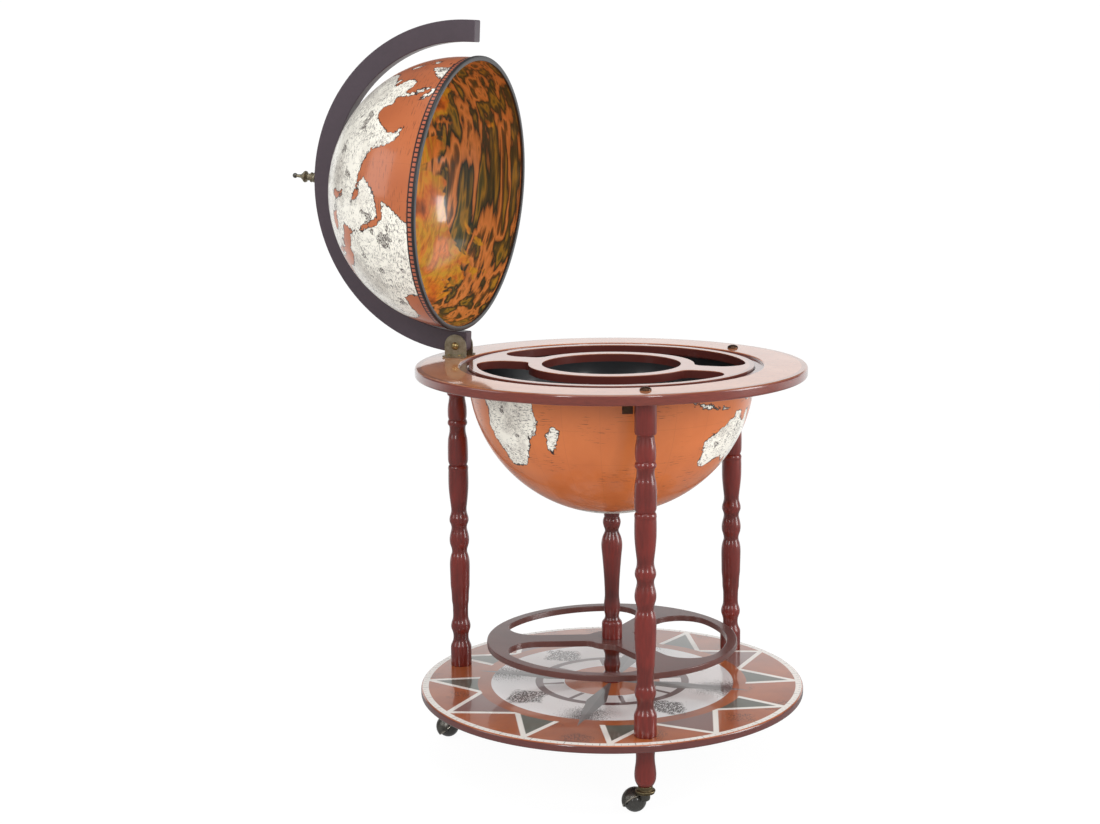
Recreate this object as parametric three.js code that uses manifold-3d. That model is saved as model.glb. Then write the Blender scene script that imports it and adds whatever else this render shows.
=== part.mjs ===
// Floor globe bar: a round table on three turned legs and casters, a lower globe bowl under it,
// a bottle ring and a base disc on the centre post, and an upper globe shell that is the lid.
// The lid hangs from its pole in a half ring that turns in a bracket above the left leg.
// Lengths are in millimetres, +Z is up, and the origin is on the floor under the centre.

import * as THREE from 'three';
import { mergeVertices } from 'three/addons/utils/BufferGeometryUtils.js';
import Module from 'manifold-3d';

const wasm = await Module();
wasm.setup();

// Clearance between pieces that touch, and the overrun of every cut
const seat = 0.3;
const overrun = 5;

// Table, insert plate and globe bowl
const tableThickness = 15;
const tableOverhang = 39.5;
const edgeRound = 3;
const insertThickness = 12;
const bowlRadius = 212;
const bowlWall = 3;
const bowlDrop = 10.5;
const bowlLip = 6.5;
const bowlLipThickness = 3;
const insertInset = 1;
const grooveWidth = 14;
const ledgeReach = 5;
const hubBand = 20;
const kidneyBand = 12;
const kidneyWidth = 76;
const bridgeHalfWidth = 22;
const lobeRadius = 35;
const hubCornerRadius = 17;

// Legs, base disc, toes
const legClearance = 38.5;
const legRadius = 15.4;
const legLength = 473.4;
const baseOverhang = 39.5;
const baseThickness = 12;
const toeLength = 61.5;
const toeRadius = 15.5;

// Bottle ring, centre post and spacer
const ringRadius = 189.5;
const ringThickness = 9;
const ringRise = 59.2;
const ringBand = 16;
const ringHubRadius = 38;
const spokeHalfWidth = 18;
const ringLobeRadius = 45;
const ringCornerRadius = 14;
const postRadius = 16;
const socketDepth = 2;

// Casters
const wheelRadius = 16.5;
const wheelHalfWidth = 10;
const casterTrail = 22.5;
const hoodWall = 1.3;
const hoodClearance = 1.3;
const swivelClearance = 0.45;
const hoodSkirt = 4.5;
const neckRadius = 7;
const flangeRadius = 14.3;
const cupRadius = 10.5;
const flangeThickness = 2.5;
const flangeDepth = 10.5;
const casterPinRadius = 3;
const casterPinLength = 8;
const axleRadius = 2.5;
const axleProud = 0.5;

// Half ring, its pivot and bracket
const pivotInset = 4.5;
const pivotHeight = 17;
const closedOffset = 8.5;
const pivotToOuter = 10.5;
const arcWidth = 32.5;
const arcThickness = 20;
const arcExtension = 13.5;
const pivotAboveCentre = 3;
const arcHeelRound = 9;
const arcTipRound = 2;
const pivotPinRadius = 3;
const pivotHeadRadius = 6;
const pivotHeadHeight = 3.5;
const earHalfWidth = 17.5;
const earThickness = 2.5;
const earFoot = 9;
const earGap = 1;
const footScrewRadius = 2.6;
const footScrewHeight = 1.6;

// Lid shell, its rim and finial
const shellGap = 13;
const shellWall = 3;
const rimProud = 2.8;
const rimSkirt = 5;
const rimThickness = 2.2;
const rimLip = 7;
const rimWall = 2.4;
const finialBoltRadius = 3;
const finialHoleRadius = 4.9;
const finialPlay = 0.8;
const finialLength = 41;
const finialRadius = 8.8;
const spacerRadius = 7;
const nutRadius = 7.5;
const nutHeight = 6;

// Small fittings
const capRadius = 8.3;
const capHeight = 4.5;
const clipWidth = 15;
const clipThickness = 2.5;
const clipStep = 1.5;
const clipPlate = 25;
const clipTab = 18;
const clipShift = 24;
const clipScrewRadius = 3.4;
const clipScrewHeight = 2;

// Angles in degrees
const openAngle = 87.3;
const sagAngle = 2.05;
const legAngles = [180, -60, 60];
const casterAngles = [195, 149, -20];
const spokeAngles = [-158, -38, 82];

// Facet counts
const roundCount = 48;
const bowlCount = 32;
const turnedCount = 14;
const smallCount = 8;
const ballCount = 12;
const arcCount = 30;
const cornerCount = 5;
const bowlSteps = 8;

// Caster height, which lets the hood swivel under the flange
const hoodInnerRadius = wheelRadius + hoodClearance;
const hoodRadius = hoodInnerRadius + hoodWall;
const hoodRise = Math.sqrt(hoodRadius ** 2 - (casterTrail - flangeRadius) ** 2);
const casterHeight = wheelRadius + hoodRise + swivelClearance + flangeDepth + seat;

// Levels, from the floor up
const baseBottom = casterHeight + toeLength;
const baseTop = baseBottom + baseThickness;
const socketFloor = baseTop - socketDepth;
const tableBottom = baseTop + legLength;
const tableTop = tableBottom + tableThickness;
const ringBottom = baseTop + ringRise;
const ringTop = ringBottom + ringThickness;
const bowlCentre = tableTop - bowlDrop;
const bowlBottom = bowlCentre - bowlRadius;

// Radii that follow from the driving sizes
const legCircleRadius = bowlRadius + legClearance;
const clipTurn = -THREE.MathUtils.radToDeg(Math.asin(clipShift / legCircleRadius));
const tableRadius = legCircleRadius + tableOverhang;
const baseRadius = legCircleRadius + baseOverhang;
const insertRadius = bowlRadius - insertInset;
const tableInnerRadius = insertRadius + grooveWidth;
const ledgeRadius = insertRadius - ledgeReach;
const kidneyOuterRadius = insertRadius - kidneyBand;
const hubRadius = kidneyOuterRadius - kidneyWidth;
const centreHoleRadius = hubRadius - hubBand;
const pivotRadius = legCircleRadius - pivotInset;
const arcPivotOffset = pivotRadius - closedOffset;
const arcOuterRadius = arcPivotOffset + pivotToOuter;
const arcInnerRadius = arcOuterRadius - arcWidth;
const arcMiddleRadius = arcInnerRadius + arcWidth / 2;
const shellRadius = arcInnerRadius - shellGap;
const shellBand = arcExtension - rimThickness - seat;

// Turned profiles: share of the length from the top, share of the radius, steps of the curve
const legShares = [
  [0, 0.9965, 1], [0.0908, 0.9965, 1], [0.0993, 0.8036, 1], [0.1436, 0.8679, 1],
  [0.1732, 0.79, 1], [0.1848, 0.932, 1], [0.2022, 0.7875, 1], [0.2588, 0.987, 3],
  [0.3249, 0.868, 3], [0.3316, 1.0286, 1], [0.3411, 0.977, 1], [0.4717, 0.765, 1],
  [0.5087, 0.964, 1], [0.5302, 0.781, 1], [0.5695, 0.964, 1], [0.6105, 0.765, 1],
  [0.6844, 0.977, 3], [0.8365, 0.752, 3], [0.8673, 0.916, 1], [0.902, 0.755, 1],
  [0.9282, 1.02, 1], [0.933, 1.051, 1], [1, 1.051, 1],
];
const toeShares = [
  [0, 0.95, 1], [0.05, 0.95, 1], [0.24, 0.86, 1], [0.4, 0.87, 1], [0.72, 1, 3],
  [0.86, 0.95, 1], [0.95, 0.82, 1], [1, 0.68, 1],
];
const postShares = [
  [0, 0.74, 1], [0.04, 0.74, 1], [0.05, 0.7, 1], [0.085, 0.84, 1], [0.148, 0.65, 3],
  [0.27, 1, 4], [0.66, 0.68, 3], [0.758, 0.78, 3], [0.83, 0.65, 3], [0.872, 0.9, 1],
  [0.882, 0.96, 1], [1, 0.96, 1],
];
const spacerFootShare = 0.96;
const spacerShares = [
  [0, spacerFootShare, 1], [0.08, spacerFootShare, 1], [0.36, 0.68, 3], [0.54, 0.8, 1],
  [0.73, 0.68, 1], [0.82, spacerFootShare, 1], [1, spacerFootShare, 1],
];
const finialShares = [
  [0, 0.08, 1], [0.03, 0.32, 1], [0.09, 0.43, 1], [0.16, 0.32, 1], [0.19, 0.26, 1],
  [0.36, 0.36, 1], [0.42, 0.6, 1], [0.52, 1, 1], [0.56, 0.94, 1], [0.62, 0.52, 1],
  [0.68, 0.6, 1], [0.74, 0.52, 1], [0.79, 0.84, 1], [0.85, 0.87, 1], [1, 0.87, 1],
];

function degrees(angle) {
  return THREE.MathUtils.degToRad(angle);
}

// Materials
function metalPaint(color, roughness, metalness) {
  return new THREE.MeshStandardMaterial({ color, roughness, metalness });
}

function mahogany() {
  return metalPaint(0x6e2d28, 0.25, 0);
}

function darkWood() {
  return metalPaint(0x4b3c41, 0.3, 0);
}

function plateWood() {
  return metalPaint(0x5a3230, 0.3, 0);
}

function tablePrint() {
  return metalPaint(0xa8613f, 0.15, 0);
}

function basePrint() {
  return metalPaint(0xbe6e46, 0.12, 0);
}

function globePrint() {
  return metalPaint(0xd9a27c, 0.25, 0);
}

function rimFinish() {
  return metalPaint(0x4a4540, 0.4, 0);
}

function antiqueBrass() {
  return metalPaint(0x6e6450, 0.35, 0.9);
}

function pewter() {
  return metalPaint(0x4a4844, 0.4, 0.85);
}

function wheelPlastic() {
  return metalPaint(0x1c1b1b, 0.5, 0);
}

// Shape helpers
function arcPoints(centreX, centreY, radius, from, to, steps) {
  const points = [];
  for (let i = 0; i <= steps; i += 1) {
    const angle = degrees(from + ((to - from) * i) / steps);
    points.push([centreX + radius * Math.cos(angle), centreY + radius * Math.sin(angle)]);
  }
  return points;
}

function doubledArea(points) {
  return points.reduce((sum, [x, y], i) => {
    const [nextX, nextY] = points[(i + 1) % points.length];
    return sum + x * nextY - nextX * y;
  }, 0);
}

// A solid of revolution about Z from a closed outline of radius and height pairs
function turned(outline, count) {
  const ordered = doubledArea(outline) > 0 ? outline : [...outline].reverse();
  const onAxis = ordered.findIndex(([radius], i) => {
    const before = ordered[(i + ordered.length - 1) % ordered.length];
    return radius === 0 && before[0] === 0;
  });
  const first = Math.max(onAxis, 0);
  const rolled = [...ordered.slice(first), ...ordered.slice(0, first)];
  const points = rolled.map(([radius, height]) => new THREE.Vector2(radius, height));
  if (onAxis < 0) {
    points.push(points[0].clone());
  }
  const geometry = new THREE.LatheGeometry(points, count);
  geometry.rotateX(Math.PI / 2);
  return geometry;
}

// Radius and height pairs of a turned piece, from its table of shares
function turnedSide(shares, radius, top, length) {
  const side = [];
  shares.forEach(([down, wide, steps], i) => {
    const [downBefore, wideBefore] = shares[Math.max(i - 1, 0)];
    for (let step = 1; step <= steps; step += 1) {
      const along = step / steps;
      const eased = steps > 1 ? (1 - Math.cos(Math.PI * along)) / 2 : along;
      const height = top - length * (downBefore + (down - downBefore) * along);
      side.push([radius * (wideBefore + (wide - wideBefore) * eased), height]);
    }
  });
  return side;
}

function turnedPiece(shares, radius, top, length, count) {
  const side = turnedSide(shares, radius, top, length);
  return turned([[0, top], ...side, [0, top - length]], count);
}

function plate(outline, holes, thickness) {
  const shape = new THREE.Shape(outline.map(([x, y]) => new THREE.Vector2(x, y)));
  shape.holes = holes.map((hole) => new THREE.Path(hole.map(([x, y]) => new THREE.Vector2(x, y))));
  return new THREE.ExtrudeGeometry(shape, { depth: thickness, bevelEnabled: false });
}

// A plate that stands in the XZ plane, centred on Y
function standingPlate(outline, holes, thickness) {
  const geometry = plate(outline, holes, thickness);
  geometry.translate(0, 0, -thickness / 2);
  geometry.rotateX(Math.PI / 2);
  return geometry;
}

function rod(radius, bottom, top, count) {
  return turned([[0, bottom], [radius, bottom], [radius, top], [0, top]], count);
}

function circle(x, y, radius, count) {
  return arcPoints(x, y, radius, 0, 360, count).slice(0, -1);
}

function dome(radius, height, bottom, count) {
  const ballRadius = (radius * radius + height * height) / (2 * height);
  const edge = THREE.MathUtils.radToDeg(Math.asin((ballRadius - height) / ballRadius));
  const side = arcPoints(0, bottom + height - ballRadius, ballRadius, edge, 90, 3);
  return [[0, bottom], ...side.slice(0, -1), [0, bottom + height]];
}

function toSolid(geometry) {
  const bare = geometry.clone();
  bare.deleteAttribute('normal');
  bare.deleteAttribute('uv');
  const welded = mergeVertices(bare);
  const vertProperties = new Float32Array(welded.attributes.position.array);
  const triVerts = new Uint32Array(welded.index.array);
  return new wasm.Manifold(new wasm.Mesh({ numProp: 3, vertProperties, triVerts }));
}

function toGeometry(solid) {
  const mesh = solid.getMesh();
  const geometry = new THREE.BufferGeometry();
  geometry.setAttribute('position', new THREE.BufferAttribute(new Float32Array(mesh.vertProperties), 3));
  geometry.setIndex(new THREE.BufferAttribute(new Uint32Array(mesh.triVerts), 1));
  return geometry;
}

function part(name, geometry, material) {
  const mesh = new THREE.Mesh(geometry, material);
  mesh.name = name;
  return mesh;
}

function around(mesh, radius, angle) {
  mesh.position.x = radius * Math.cos(degrees(angle));
  mesh.position.y = radius * Math.sin(degrees(angle));
  return mesh;
}

// An opening between two spokes: an outer arc, a hub arc and four rounded corners
function openingOutline(hub, rim, halfWidth, lobe, corner, from, to) {
  const span = to - from;
  const lobeAcross = halfWidth + lobe;
  const lobeAlong = Math.sqrt((rim - lobe) ** 2 - lobeAcross ** 2);
  const cornerAcross = halfWidth + corner;
  const cornerAlong = Math.sqrt((hub + corner) ** 2 - cornerAcross ** 2);
  const lobeTurn = THREE.MathUtils.radToDeg(Math.atan2(lobeAcross, lobeAlong));
  const cornerTurn = THREE.MathUtils.radToDeg(Math.atan2(cornerAcross, cornerAlong));
  const half = [
    ...arcPoints(cornerAlong, cornerAcross, corner, cornerTurn + 180, 270, cornerCount),
    ...arcPoints(lobeAlong, lobeAcross, lobe, -90, lobeTurn, cornerCount + 2),
  ];
  const mirrored = half.map(([x, y]) => {
    const c = Math.cos(degrees(span));
    const s = Math.sin(degrees(span));
    return [x * c + y * s, x * s - y * c];
  });
  const rimArc = arcPoints(0, 0, rim, lobeTurn, span - lobeTurn, 2 * cornerCount).slice(1, -1);
  const hubArc = arcPoints(0, 0, hub, span - cornerTurn, cornerTurn, 2 * cornerCount).slice(1, -1);
  const outline = [...half, ...rimArc, ...mirrored.reverse(), ...hubArc];
  const turn = degrees(from);
  return outline.map(([x, y]) => [
    x * Math.cos(turn) - y * Math.sin(turn),
    x * Math.sin(turn) + y * Math.cos(turn),
  ]);
}

// Table and globe bowl
function tableRing() {
  const ledge = tableTop - insertThickness - seat;
  const outline = [
    [ledgeRadius, tableBottom],
    ...arcPoints(tableRadius - edgeRound, tableBottom + edgeRound, edgeRound, -90, 0, 2),
    ...arcPoints(tableRadius - edgeRound, tableTop - edgeRound, edgeRound, 0, 90, 2),
    ...arcPoints(tableInnerRadius + edgeRound, tableTop - edgeRound, edgeRound, 90, 180, 2),
    [tableInnerRadius, ledge],
    [ledgeRadius, ledge],
  ];
  return part('table_ring', turned(outline, roundCount), tablePrint());
}

function insertPlate() {
  const kidneys = [0, 180].map((from) => openingOutline(
    hubRadius, kidneyOuterRadius, bridgeHalfWidth, lobeRadius, hubCornerRadius, from, from + 180,
  ));
  const holes = [circle(0, 0, centreHoleRadius, bowlCount), ...kidneys];
  const geometry = plate(circle(0, 0, insertRadius, roundCount), holes, insertThickness);
  const mesh = part('insert_plate', geometry, tablePrint());
  mesh.position.z = tableTop - insertThickness;
  return mesh;
}

function globeBowl() {
  const lipTop = tableBottom - seat;
  const lipBottom = lipTop - bowlLipThickness;
  const innerRadius = bowlRadius - bowlWall;
  const outerEnd = THREE.MathUtils.radToDeg(Math.asin((lipBottom - bowlCentre) / bowlRadius));
  const innerEnd = THREE.MathUtils.radToDeg(Math.asin((lipTop - bowlCentre) / innerRadius));
  const outer = arcPoints(0, bowlCentre, bowlRadius, -90, outerEnd, bowlSteps);
  const inner = arcPoints(0, bowlCentre, innerRadius, innerEnd, -90, bowlSteps);
  const outline = [
    [0, bowlBottom],
    ...outer.slice(1),
    [bowlRadius + bowlLip, lipBottom],
    [bowlRadius + bowlLip, lipTop],
    ...inner.slice(0, -1),
    [0, bowlBottom + bowlWall],
  ];
  return part('globe_bowl', turned(outline, bowlCount), globePrint());
}

function bowlClip(index) {
  const top = tableBottom - seat;
  const tongueTop = top - bowlLipThickness - seat;
  const wall = bowlRadius + bowlLip + clipStep;
  const tip = bowlRadius + clipStep;
  const outline = [
    [wall, top],
    [wall + clipPlate, top],
    [wall + clipPlate, top - clipTab],
    [wall + clipPlate - clipThickness, top - clipTab],
    [wall + clipPlate - clipThickness, top - clipThickness],
    [wall + clipThickness, top - clipThickness],
    [wall + clipThickness, tongueTop - clipThickness],
    [tip, tongueTop - clipThickness],
    [tip, tongueTop],
    [wall, tongueTop],
  ];
  const mesh = part(`bowl_clip_${index + 1}`, standingPlate(outline, [], clipWidth), antiqueBrass());
  mesh.rotation.z = degrees(legAngles[index] + clipTurn);
  return mesh;
}

function clipScrew(index) {
  const radius = bowlRadius + bowlLip + clipStep + clipPlate / 2;
  const top = tableBottom - seat - clipThickness - seat;
  const outline = dome(clipScrewRadius, clipScrewHeight, 0, smallCount).map(([r, z]) => [r, top - z]);
  const mesh = part(`clip_screw_${index + 1}`, turned(outline, smallCount), antiqueBrass());
  return around(mesh, radius, legAngles[index] + clipTurn);
}

// Legs, toes and base disc
function leg(index) {
  const top = tableBottom - seat;
  const length = legLength - 2 * seat;
  const geometry = turnedPiece(legShares, legRadius, top, length, turnedCount);
  return around(part(`leg_${index + 1}`, geometry, mahogany()), legCircleRadius, legAngles[index]);
}

function toe(index) {
  const top = baseBottom - seat;
  const length = toeLength - 2 * seat;
  const geometry = turnedPiece(toeShares, toeRadius, top, length, turnedCount);
  return around(part(`toe_${index + 1}`, geometry, mahogany()), legCircleRadius, legAngles[index]);
}

function baseDisc() {
  const socketRadius = postRadius * spacerFootShare + seat;
  const outline = [
    [0, baseBottom],
    ...arcPoints(baseRadius - edgeRound, baseBottom + edgeRound, edgeRound, -90, 0, 2),
    ...arcPoints(baseRadius - edgeRound, baseTop - edgeRound, edgeRound, 0, 90, 2),
    [socketRadius, baseTop],
    [socketRadius, socketFloor],
    [0, socketFloor],
  ];
  return part('base_disc', turned(outline, roundCount), basePrint());
}

// Centre post, bottle ring and spacer
function centrePost() {
  const top = bowlBottom - seat;
  const length = top - ringTop - seat;
  return part('centre_post', turnedPiece(postShares, postRadius, top, length, turnedCount), mahogany());
}

function postSpacer() {
  const top = ringBottom - seat;
  const length = top - socketFloor - seat;
  return part('post_spacer', turnedPiece(spacerShares, postRadius, top, length, turnedCount), mahogany());
}

function bottleRing() {
  const inner = ringRadius - ringBand;
  const holes = spokeAngles.map((from) => openingOutline(
    ringHubRadius, inner, spokeHalfWidth, ringLobeRadius, ringCornerRadius, from, from + 120,
  ));
  const geometry = plate(circle(0, 0, ringRadius, roundCount), holes, ringThickness);
  const mesh = part('bottle_ring', geometry, plateWood());
  mesh.position.z = ringBottom;
  return mesh;
}

// Casters
function casterPlate(index) {
  const top = casterHeight - seat;
  const shoulder = top - flangeDepth;
  const outline = [
    [0, top],
    [cupRadius, top],
    [cupRadius, shoulder + 2 * flangeThickness],
    [flangeRadius, shoulder + flangeThickness],
    [flangeRadius, shoulder],
    [casterPinRadius, shoulder],
    [casterPinRadius, shoulder - casterPinLength],
    [0, shoulder - casterPinLength],
  ];
  const mesh = part(`caster_plate_${index + 1}`, turned(outline, turnedCount), antiqueBrass());
  return around(mesh, legCircleRadius, legAngles[index]);
}

function ball(radius, count) {
  const outline = arcPoints(0, 0, radius, -90, 90, count / 2);
  outline[0] = [0, -radius];
  outline[outline.length - 1] = [0, radius];
  const geometry = turned(outline, count);
  geometry.translate(casterTrail, 0, wheelRadius);
  return geometry;
}

function casterHood(index) {
  const neckTop = casterHeight - flangeDepth - 2 * seat;
  const boreBottom = casterHeight - flangeDepth - casterPinLength - 2 * seat;
  const neck = rod(neckRadius, wheelRadius - seat, neckTop, turnedCount);
  const bore = rod(casterPinRadius + seat, boreBottom, neckTop + overrun, smallCount);
  const axleBore = rod(axleRadius + seat, -hoodRadius - overrun, hoodRadius + overrun, smallCount);
  axleBore.rotateX(Math.PI / 2);
  axleBore.translate(casterTrail, 0, wheelRadius);
  const below = new THREE.BoxGeometry(4 * hoodRadius + overrun, 4 * hoodRadius, 2 * hoodRadius);
  below.translate(casterTrail, 0, wheelRadius - hoodSkirt - hoodRadius);
  const hood = toSolid(ball(hoodRadius, ballCount))
    .add(toSolid(neck))
    .subtract(toSolid(ball(hoodInnerRadius, ballCount)))
    .subtract(toSolid(bore))
    .subtract(toSolid(axleBore))
    .subtract(toSolid(below));
  return part(`caster_hood_${index + 1}`, toGeometry(hood), pewter());
}

function casterWheel(index) {
  const edge = THREE.MathUtils.radToDeg(Math.asin(wheelHalfWidth / wheelRadius));
  const outline = [
    [axleRadius + seat, -wheelHalfWidth],
    ...arcPoints(0, 0, wheelRadius, -edge, edge, 4),
    [axleRadius + seat, wheelHalfWidth],
  ];
  const geometry = turned(outline, turnedCount + 2);
  geometry.rotateX(Math.PI / 2);
  const mesh = part(`caster_wheel_${index + 1}`, geometry, wheelPlastic());
  mesh.position.set(casterTrail, 0, wheelRadius);
  return mesh;
}

function casterAxle(index) {
  const reach = hoodRadius + axleProud;
  const geometry = rod(axleRadius, -reach, reach, smallCount);
  geometry.rotateX(Math.PI / 2);
  const mesh = part(`caster_axle_${index + 1}`, geometry, antiqueBrass());
  mesh.position.set(casterTrail, 0, wheelRadius);
  return mesh;
}

function caster(index) {
  const group = new THREE.Group();
  group.add(casterHood(index), casterWheel(index), casterAxle(index));
  group.rotation.z = degrees(casterAngles[index]);
  return around(group, legCircleRadius, legAngles[index]);
}

// Hinge bracket above the left leg
function hingeEar(name, side) {
  const height = pivotHeight - seat;
  const outline = [
    [-earHalfWidth, 0],
    [earHalfWidth, 0],
    ...arcPoints(0, height, earHalfWidth, 0, 180, 2 * cornerCount),
  ];
  const hole = circle(0, height, pivotPinRadius + seat, smallCount);
  const ear = standingPlate(outline, [hole], earThickness);
  const foot = new THREE.BoxGeometry(2 * earHalfWidth, earFoot + earThickness, earThickness);
  foot.translate(0, (side * earFoot) / 2, earThickness / 2);
  const mesh = part(name, toGeometry(toSolid(ear).add(toSolid(foot))), antiqueBrass());
  const across = arcThickness / 2 + earGap + earThickness / 2;
  mesh.position.set(-pivotRadius, side * across, tableTop + seat);
  return mesh;
}

function footScrew(index) {
  const outline = dome(footScrewRadius, footScrewHeight, 0, smallCount);
  const mesh = part(`foot_screw_${index + 1}`, turned(outline, smallCount), antiqueBrass());
  const side = index < 2 ? -1 : 1;
  const along = index % 2 === 0 ? -1 : 1;
  const across = arcThickness / 2 + earGap + earThickness + earFoot / 2;
  const height = tableTop + earThickness + 2 * seat;
  mesh.position.set(-pivotRadius + (along * earHalfWidth) / 2, side * across, height);
  return mesh;
}

function hingePin() {
  const inner = arcThickness / 2 + earGap + earThickness + seat;
  const head = dome(pivotHeadRadius, pivotHeadHeight, inner, smallCount).slice(1);
  const far = head.map(([radius, height]) => [radius, -height]).reverse();
  const outline = [...far, [pivotPinRadius, -inner], [pivotPinRadius, inner], ...head];
  const geometry = turned(outline, smallCount);
  geometry.rotateX(Math.PI / 2);
  const mesh = part('hinge_pin', geometry, antiqueBrass());
  mesh.position.set(-pivotRadius, 0, tableTop + pivotHeight);
  return mesh;
}

function screwCap(index) {
  const mesh = part(`screw_cap_${index}`, turned(dome(capRadius, capHeight, 0, smallCount), smallCount),
    antiqueBrass());
  around(mesh, legCircleRadius, legAngles[index]);
  mesh.position.z = tableTop + seat;
  return mesh;
}

// Half ring, drawn as it lies when closed, with its pivot at the origin
function meridianArc() {
  const heel = arcHeelRound;
  const tip = arcTipRound;
  const foot = -arcExtension;
  const outer = arcPoints(0, 0, arcOuterRadius, 0, 180, arcCount);
  const inner = arcPoints(0, 0, arcInnerRadius, 180, 0, arcCount);
  const outline = [
    ...outer,
    ...arcPoints(-arcOuterRadius + heel, foot + heel, heel, 180, 270, cornerCount),
    ...arcPoints(-arcInnerRadius - tip, foot + tip, tip, 270, 360, 2),
    ...inner,
    ...arcPoints(arcInnerRadius + tip, foot + tip, tip, 180, 270, 2),
    ...arcPoints(arcOuterRadius - tip, foot + tip, tip, 270, 360, 2),
  ];
  const hole = circle(-arcPivotOffset, pivotAboveCentre, pivotPinRadius + seat, smallCount);
  const bow = toSolid(standingPlate(outline, [hole], arcThickness));
  const bore = rod(finialHoleRadius, arcInnerRadius - overrun, arcOuterRadius + overrun, smallCount);
  const geometry = toGeometry(bow.subtract(toSolid(bore)));
  geometry.translate(arcPivotOffset, 0, -pivotAboveCentre);
  return part('meridian_arc', geometry, darkWood());
}

// Lid shell and its fittings, drawn about the half ring's centre and moved to the pole pivot
function toPole(geometry) {
  geometry.translate(0, 0, -arcMiddleRadius);
  return geometry;
}

function lidShell() {
  const innerRadius = shellRadius - shellWall;
  const hole = finialBoltRadius + seat;
  const outerEnd = THREE.MathUtils.radToDeg(Math.acos(hole / shellRadius));
  const innerEnd = THREE.MathUtils.radToDeg(Math.acos(hole / innerRadius));
  const outline = [
    [shellRadius, -shellBand],
    ...arcPoints(0, 0, shellRadius, 0, outerEnd, bowlSteps),
    ...arcPoints(0, 0, innerRadius, innerEnd, 0, bowlSteps),
    [innerRadius, -shellBand],
  ];
  return part('lid_shell', toPole(turned(outline, bowlCount)), globePrint());
}

function lidRim() {
  const bottom = -shellBand - seat - rimThickness;
  const lipOuter = shellRadius - shellWall - seat;
  const outline = [
    [shellRadius + rimProud, bottom],
    [shellRadius + rimProud, -shellBand + rimSkirt],
    [shellRadius + seat, -shellBand + rimSkirt],
    [shellRadius + seat, -shellBand - seat],
    [lipOuter, -shellBand - seat],
    [lipOuter, -shellBand + rimLip],
    [lipOuter - rimWall, -shellBand + rimLip],
    [lipOuter - rimWall, bottom],
  ];
  return part('lid_rim', toPole(turned(outline, bowlCount)), rimFinish());
}

function finial() {
  const base = arcOuterRadius + finialPlay;
  const side = turnedSide(finialShares, finialRadius, base + finialLength, finialLength);
  const boltEnd = shellRadius - shellWall - nutHeight;
  const outline = [
    [0, base + finialLength],
    ...side,
    [finialBoltRadius, base],
    [finialBoltRadius, boltEnd],
    [0, boltEnd],
  ];
  return part('finial', toPole(turned(outline, smallCount)), antiqueBrass());
}

function finialSpacer() {
  const edge = Math.sqrt((shellRadius + seat) ** 2 - spacerRadius ** 2);
  const hole = finialBoltRadius + seat;
  const middle = Math.sqrt((shellRadius + seat) ** 2 - hole ** 2);
  const top = arcInnerRadius - finialPlay;
  const outline = [
    [hole, middle],
    [hole, top],
    [spacerRadius * 0.8, top],
    [spacerRadius, edge + (top - edge) / 2],
    [spacerRadius, middle],
  ];
  return part('finial_spacer', toPole(turned(outline, smallCount)), antiqueBrass());
}

function finialNut() {
  const top = Math.sqrt((shellRadius - shellWall - 2 * seat) ** 2 - nutRadius ** 2);
  const hole = finialBoltRadius + seat;
  const outline = [
    [hole, top],
    [nutRadius, top],
    [nutRadius, top - nutHeight / 3],
    [nutRadius * 0.7, top - nutHeight],
    [hole, top - nutHeight],
  ];
  return part('finial_nut', toPole(turned(outline, smallCount)), antiqueBrass());
}

function lid() {
  const shell = new THREE.Group();
  shell.add(lidShell(), lidRim(), finial(), finialSpacer(), finialNut());
  shell.position.set(arcPivotOffset, 0, arcMiddleRadius - pivotAboveCentre);
  shell.rotation.y = degrees(sagAngle);
  const group = new THREE.Group();
  group.add(meridianArc(), shell);
  group.position.set(-pivotRadius, 0, tableTop + pivotHeight);
  group.rotation.y = degrees(-openAngle);
  return group;
}

function globeBar() {
  const bar = new THREE.Group();
  bar.name = 'floor_globe_bar';
  bar.add(tableRing(), insertPlate(), globeBowl());
  bar.add(centrePost(), bottleRing(), postSpacer(), baseDisc());
  legAngles.forEach((angle, index) => {
    bar.add(leg(index), toe(index), casterPlate(index), caster(index));
    bar.add(bowlClip(index), clipScrew(index));
  });
  bar.add(hingeEar('hinge_ear_front', -1), hingeEar('hinge_ear_back', 1), hingePin());
  bar.add(screwCap(1), screwCap(2));
  for (let index = 0; index < 4; index += 1) {
    bar.add(footScrew(index));
  }
  bar.add(lid());
  return bar;
}

export default globeBar();
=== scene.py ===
"""Looks for the floor globe bar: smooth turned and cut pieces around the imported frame.

Sizes of the pieces are millimetres in the frame's own axes, and every piece is drawn where it
stands. The shaders, the wall and the lamps use metres.
"""
import logging
import math
from dataclasses import dataclass
from enum import Enum
from typing import Callable, Sequence

import bpy
import numpy as np
from mathutils import Matrix, Vector


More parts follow.
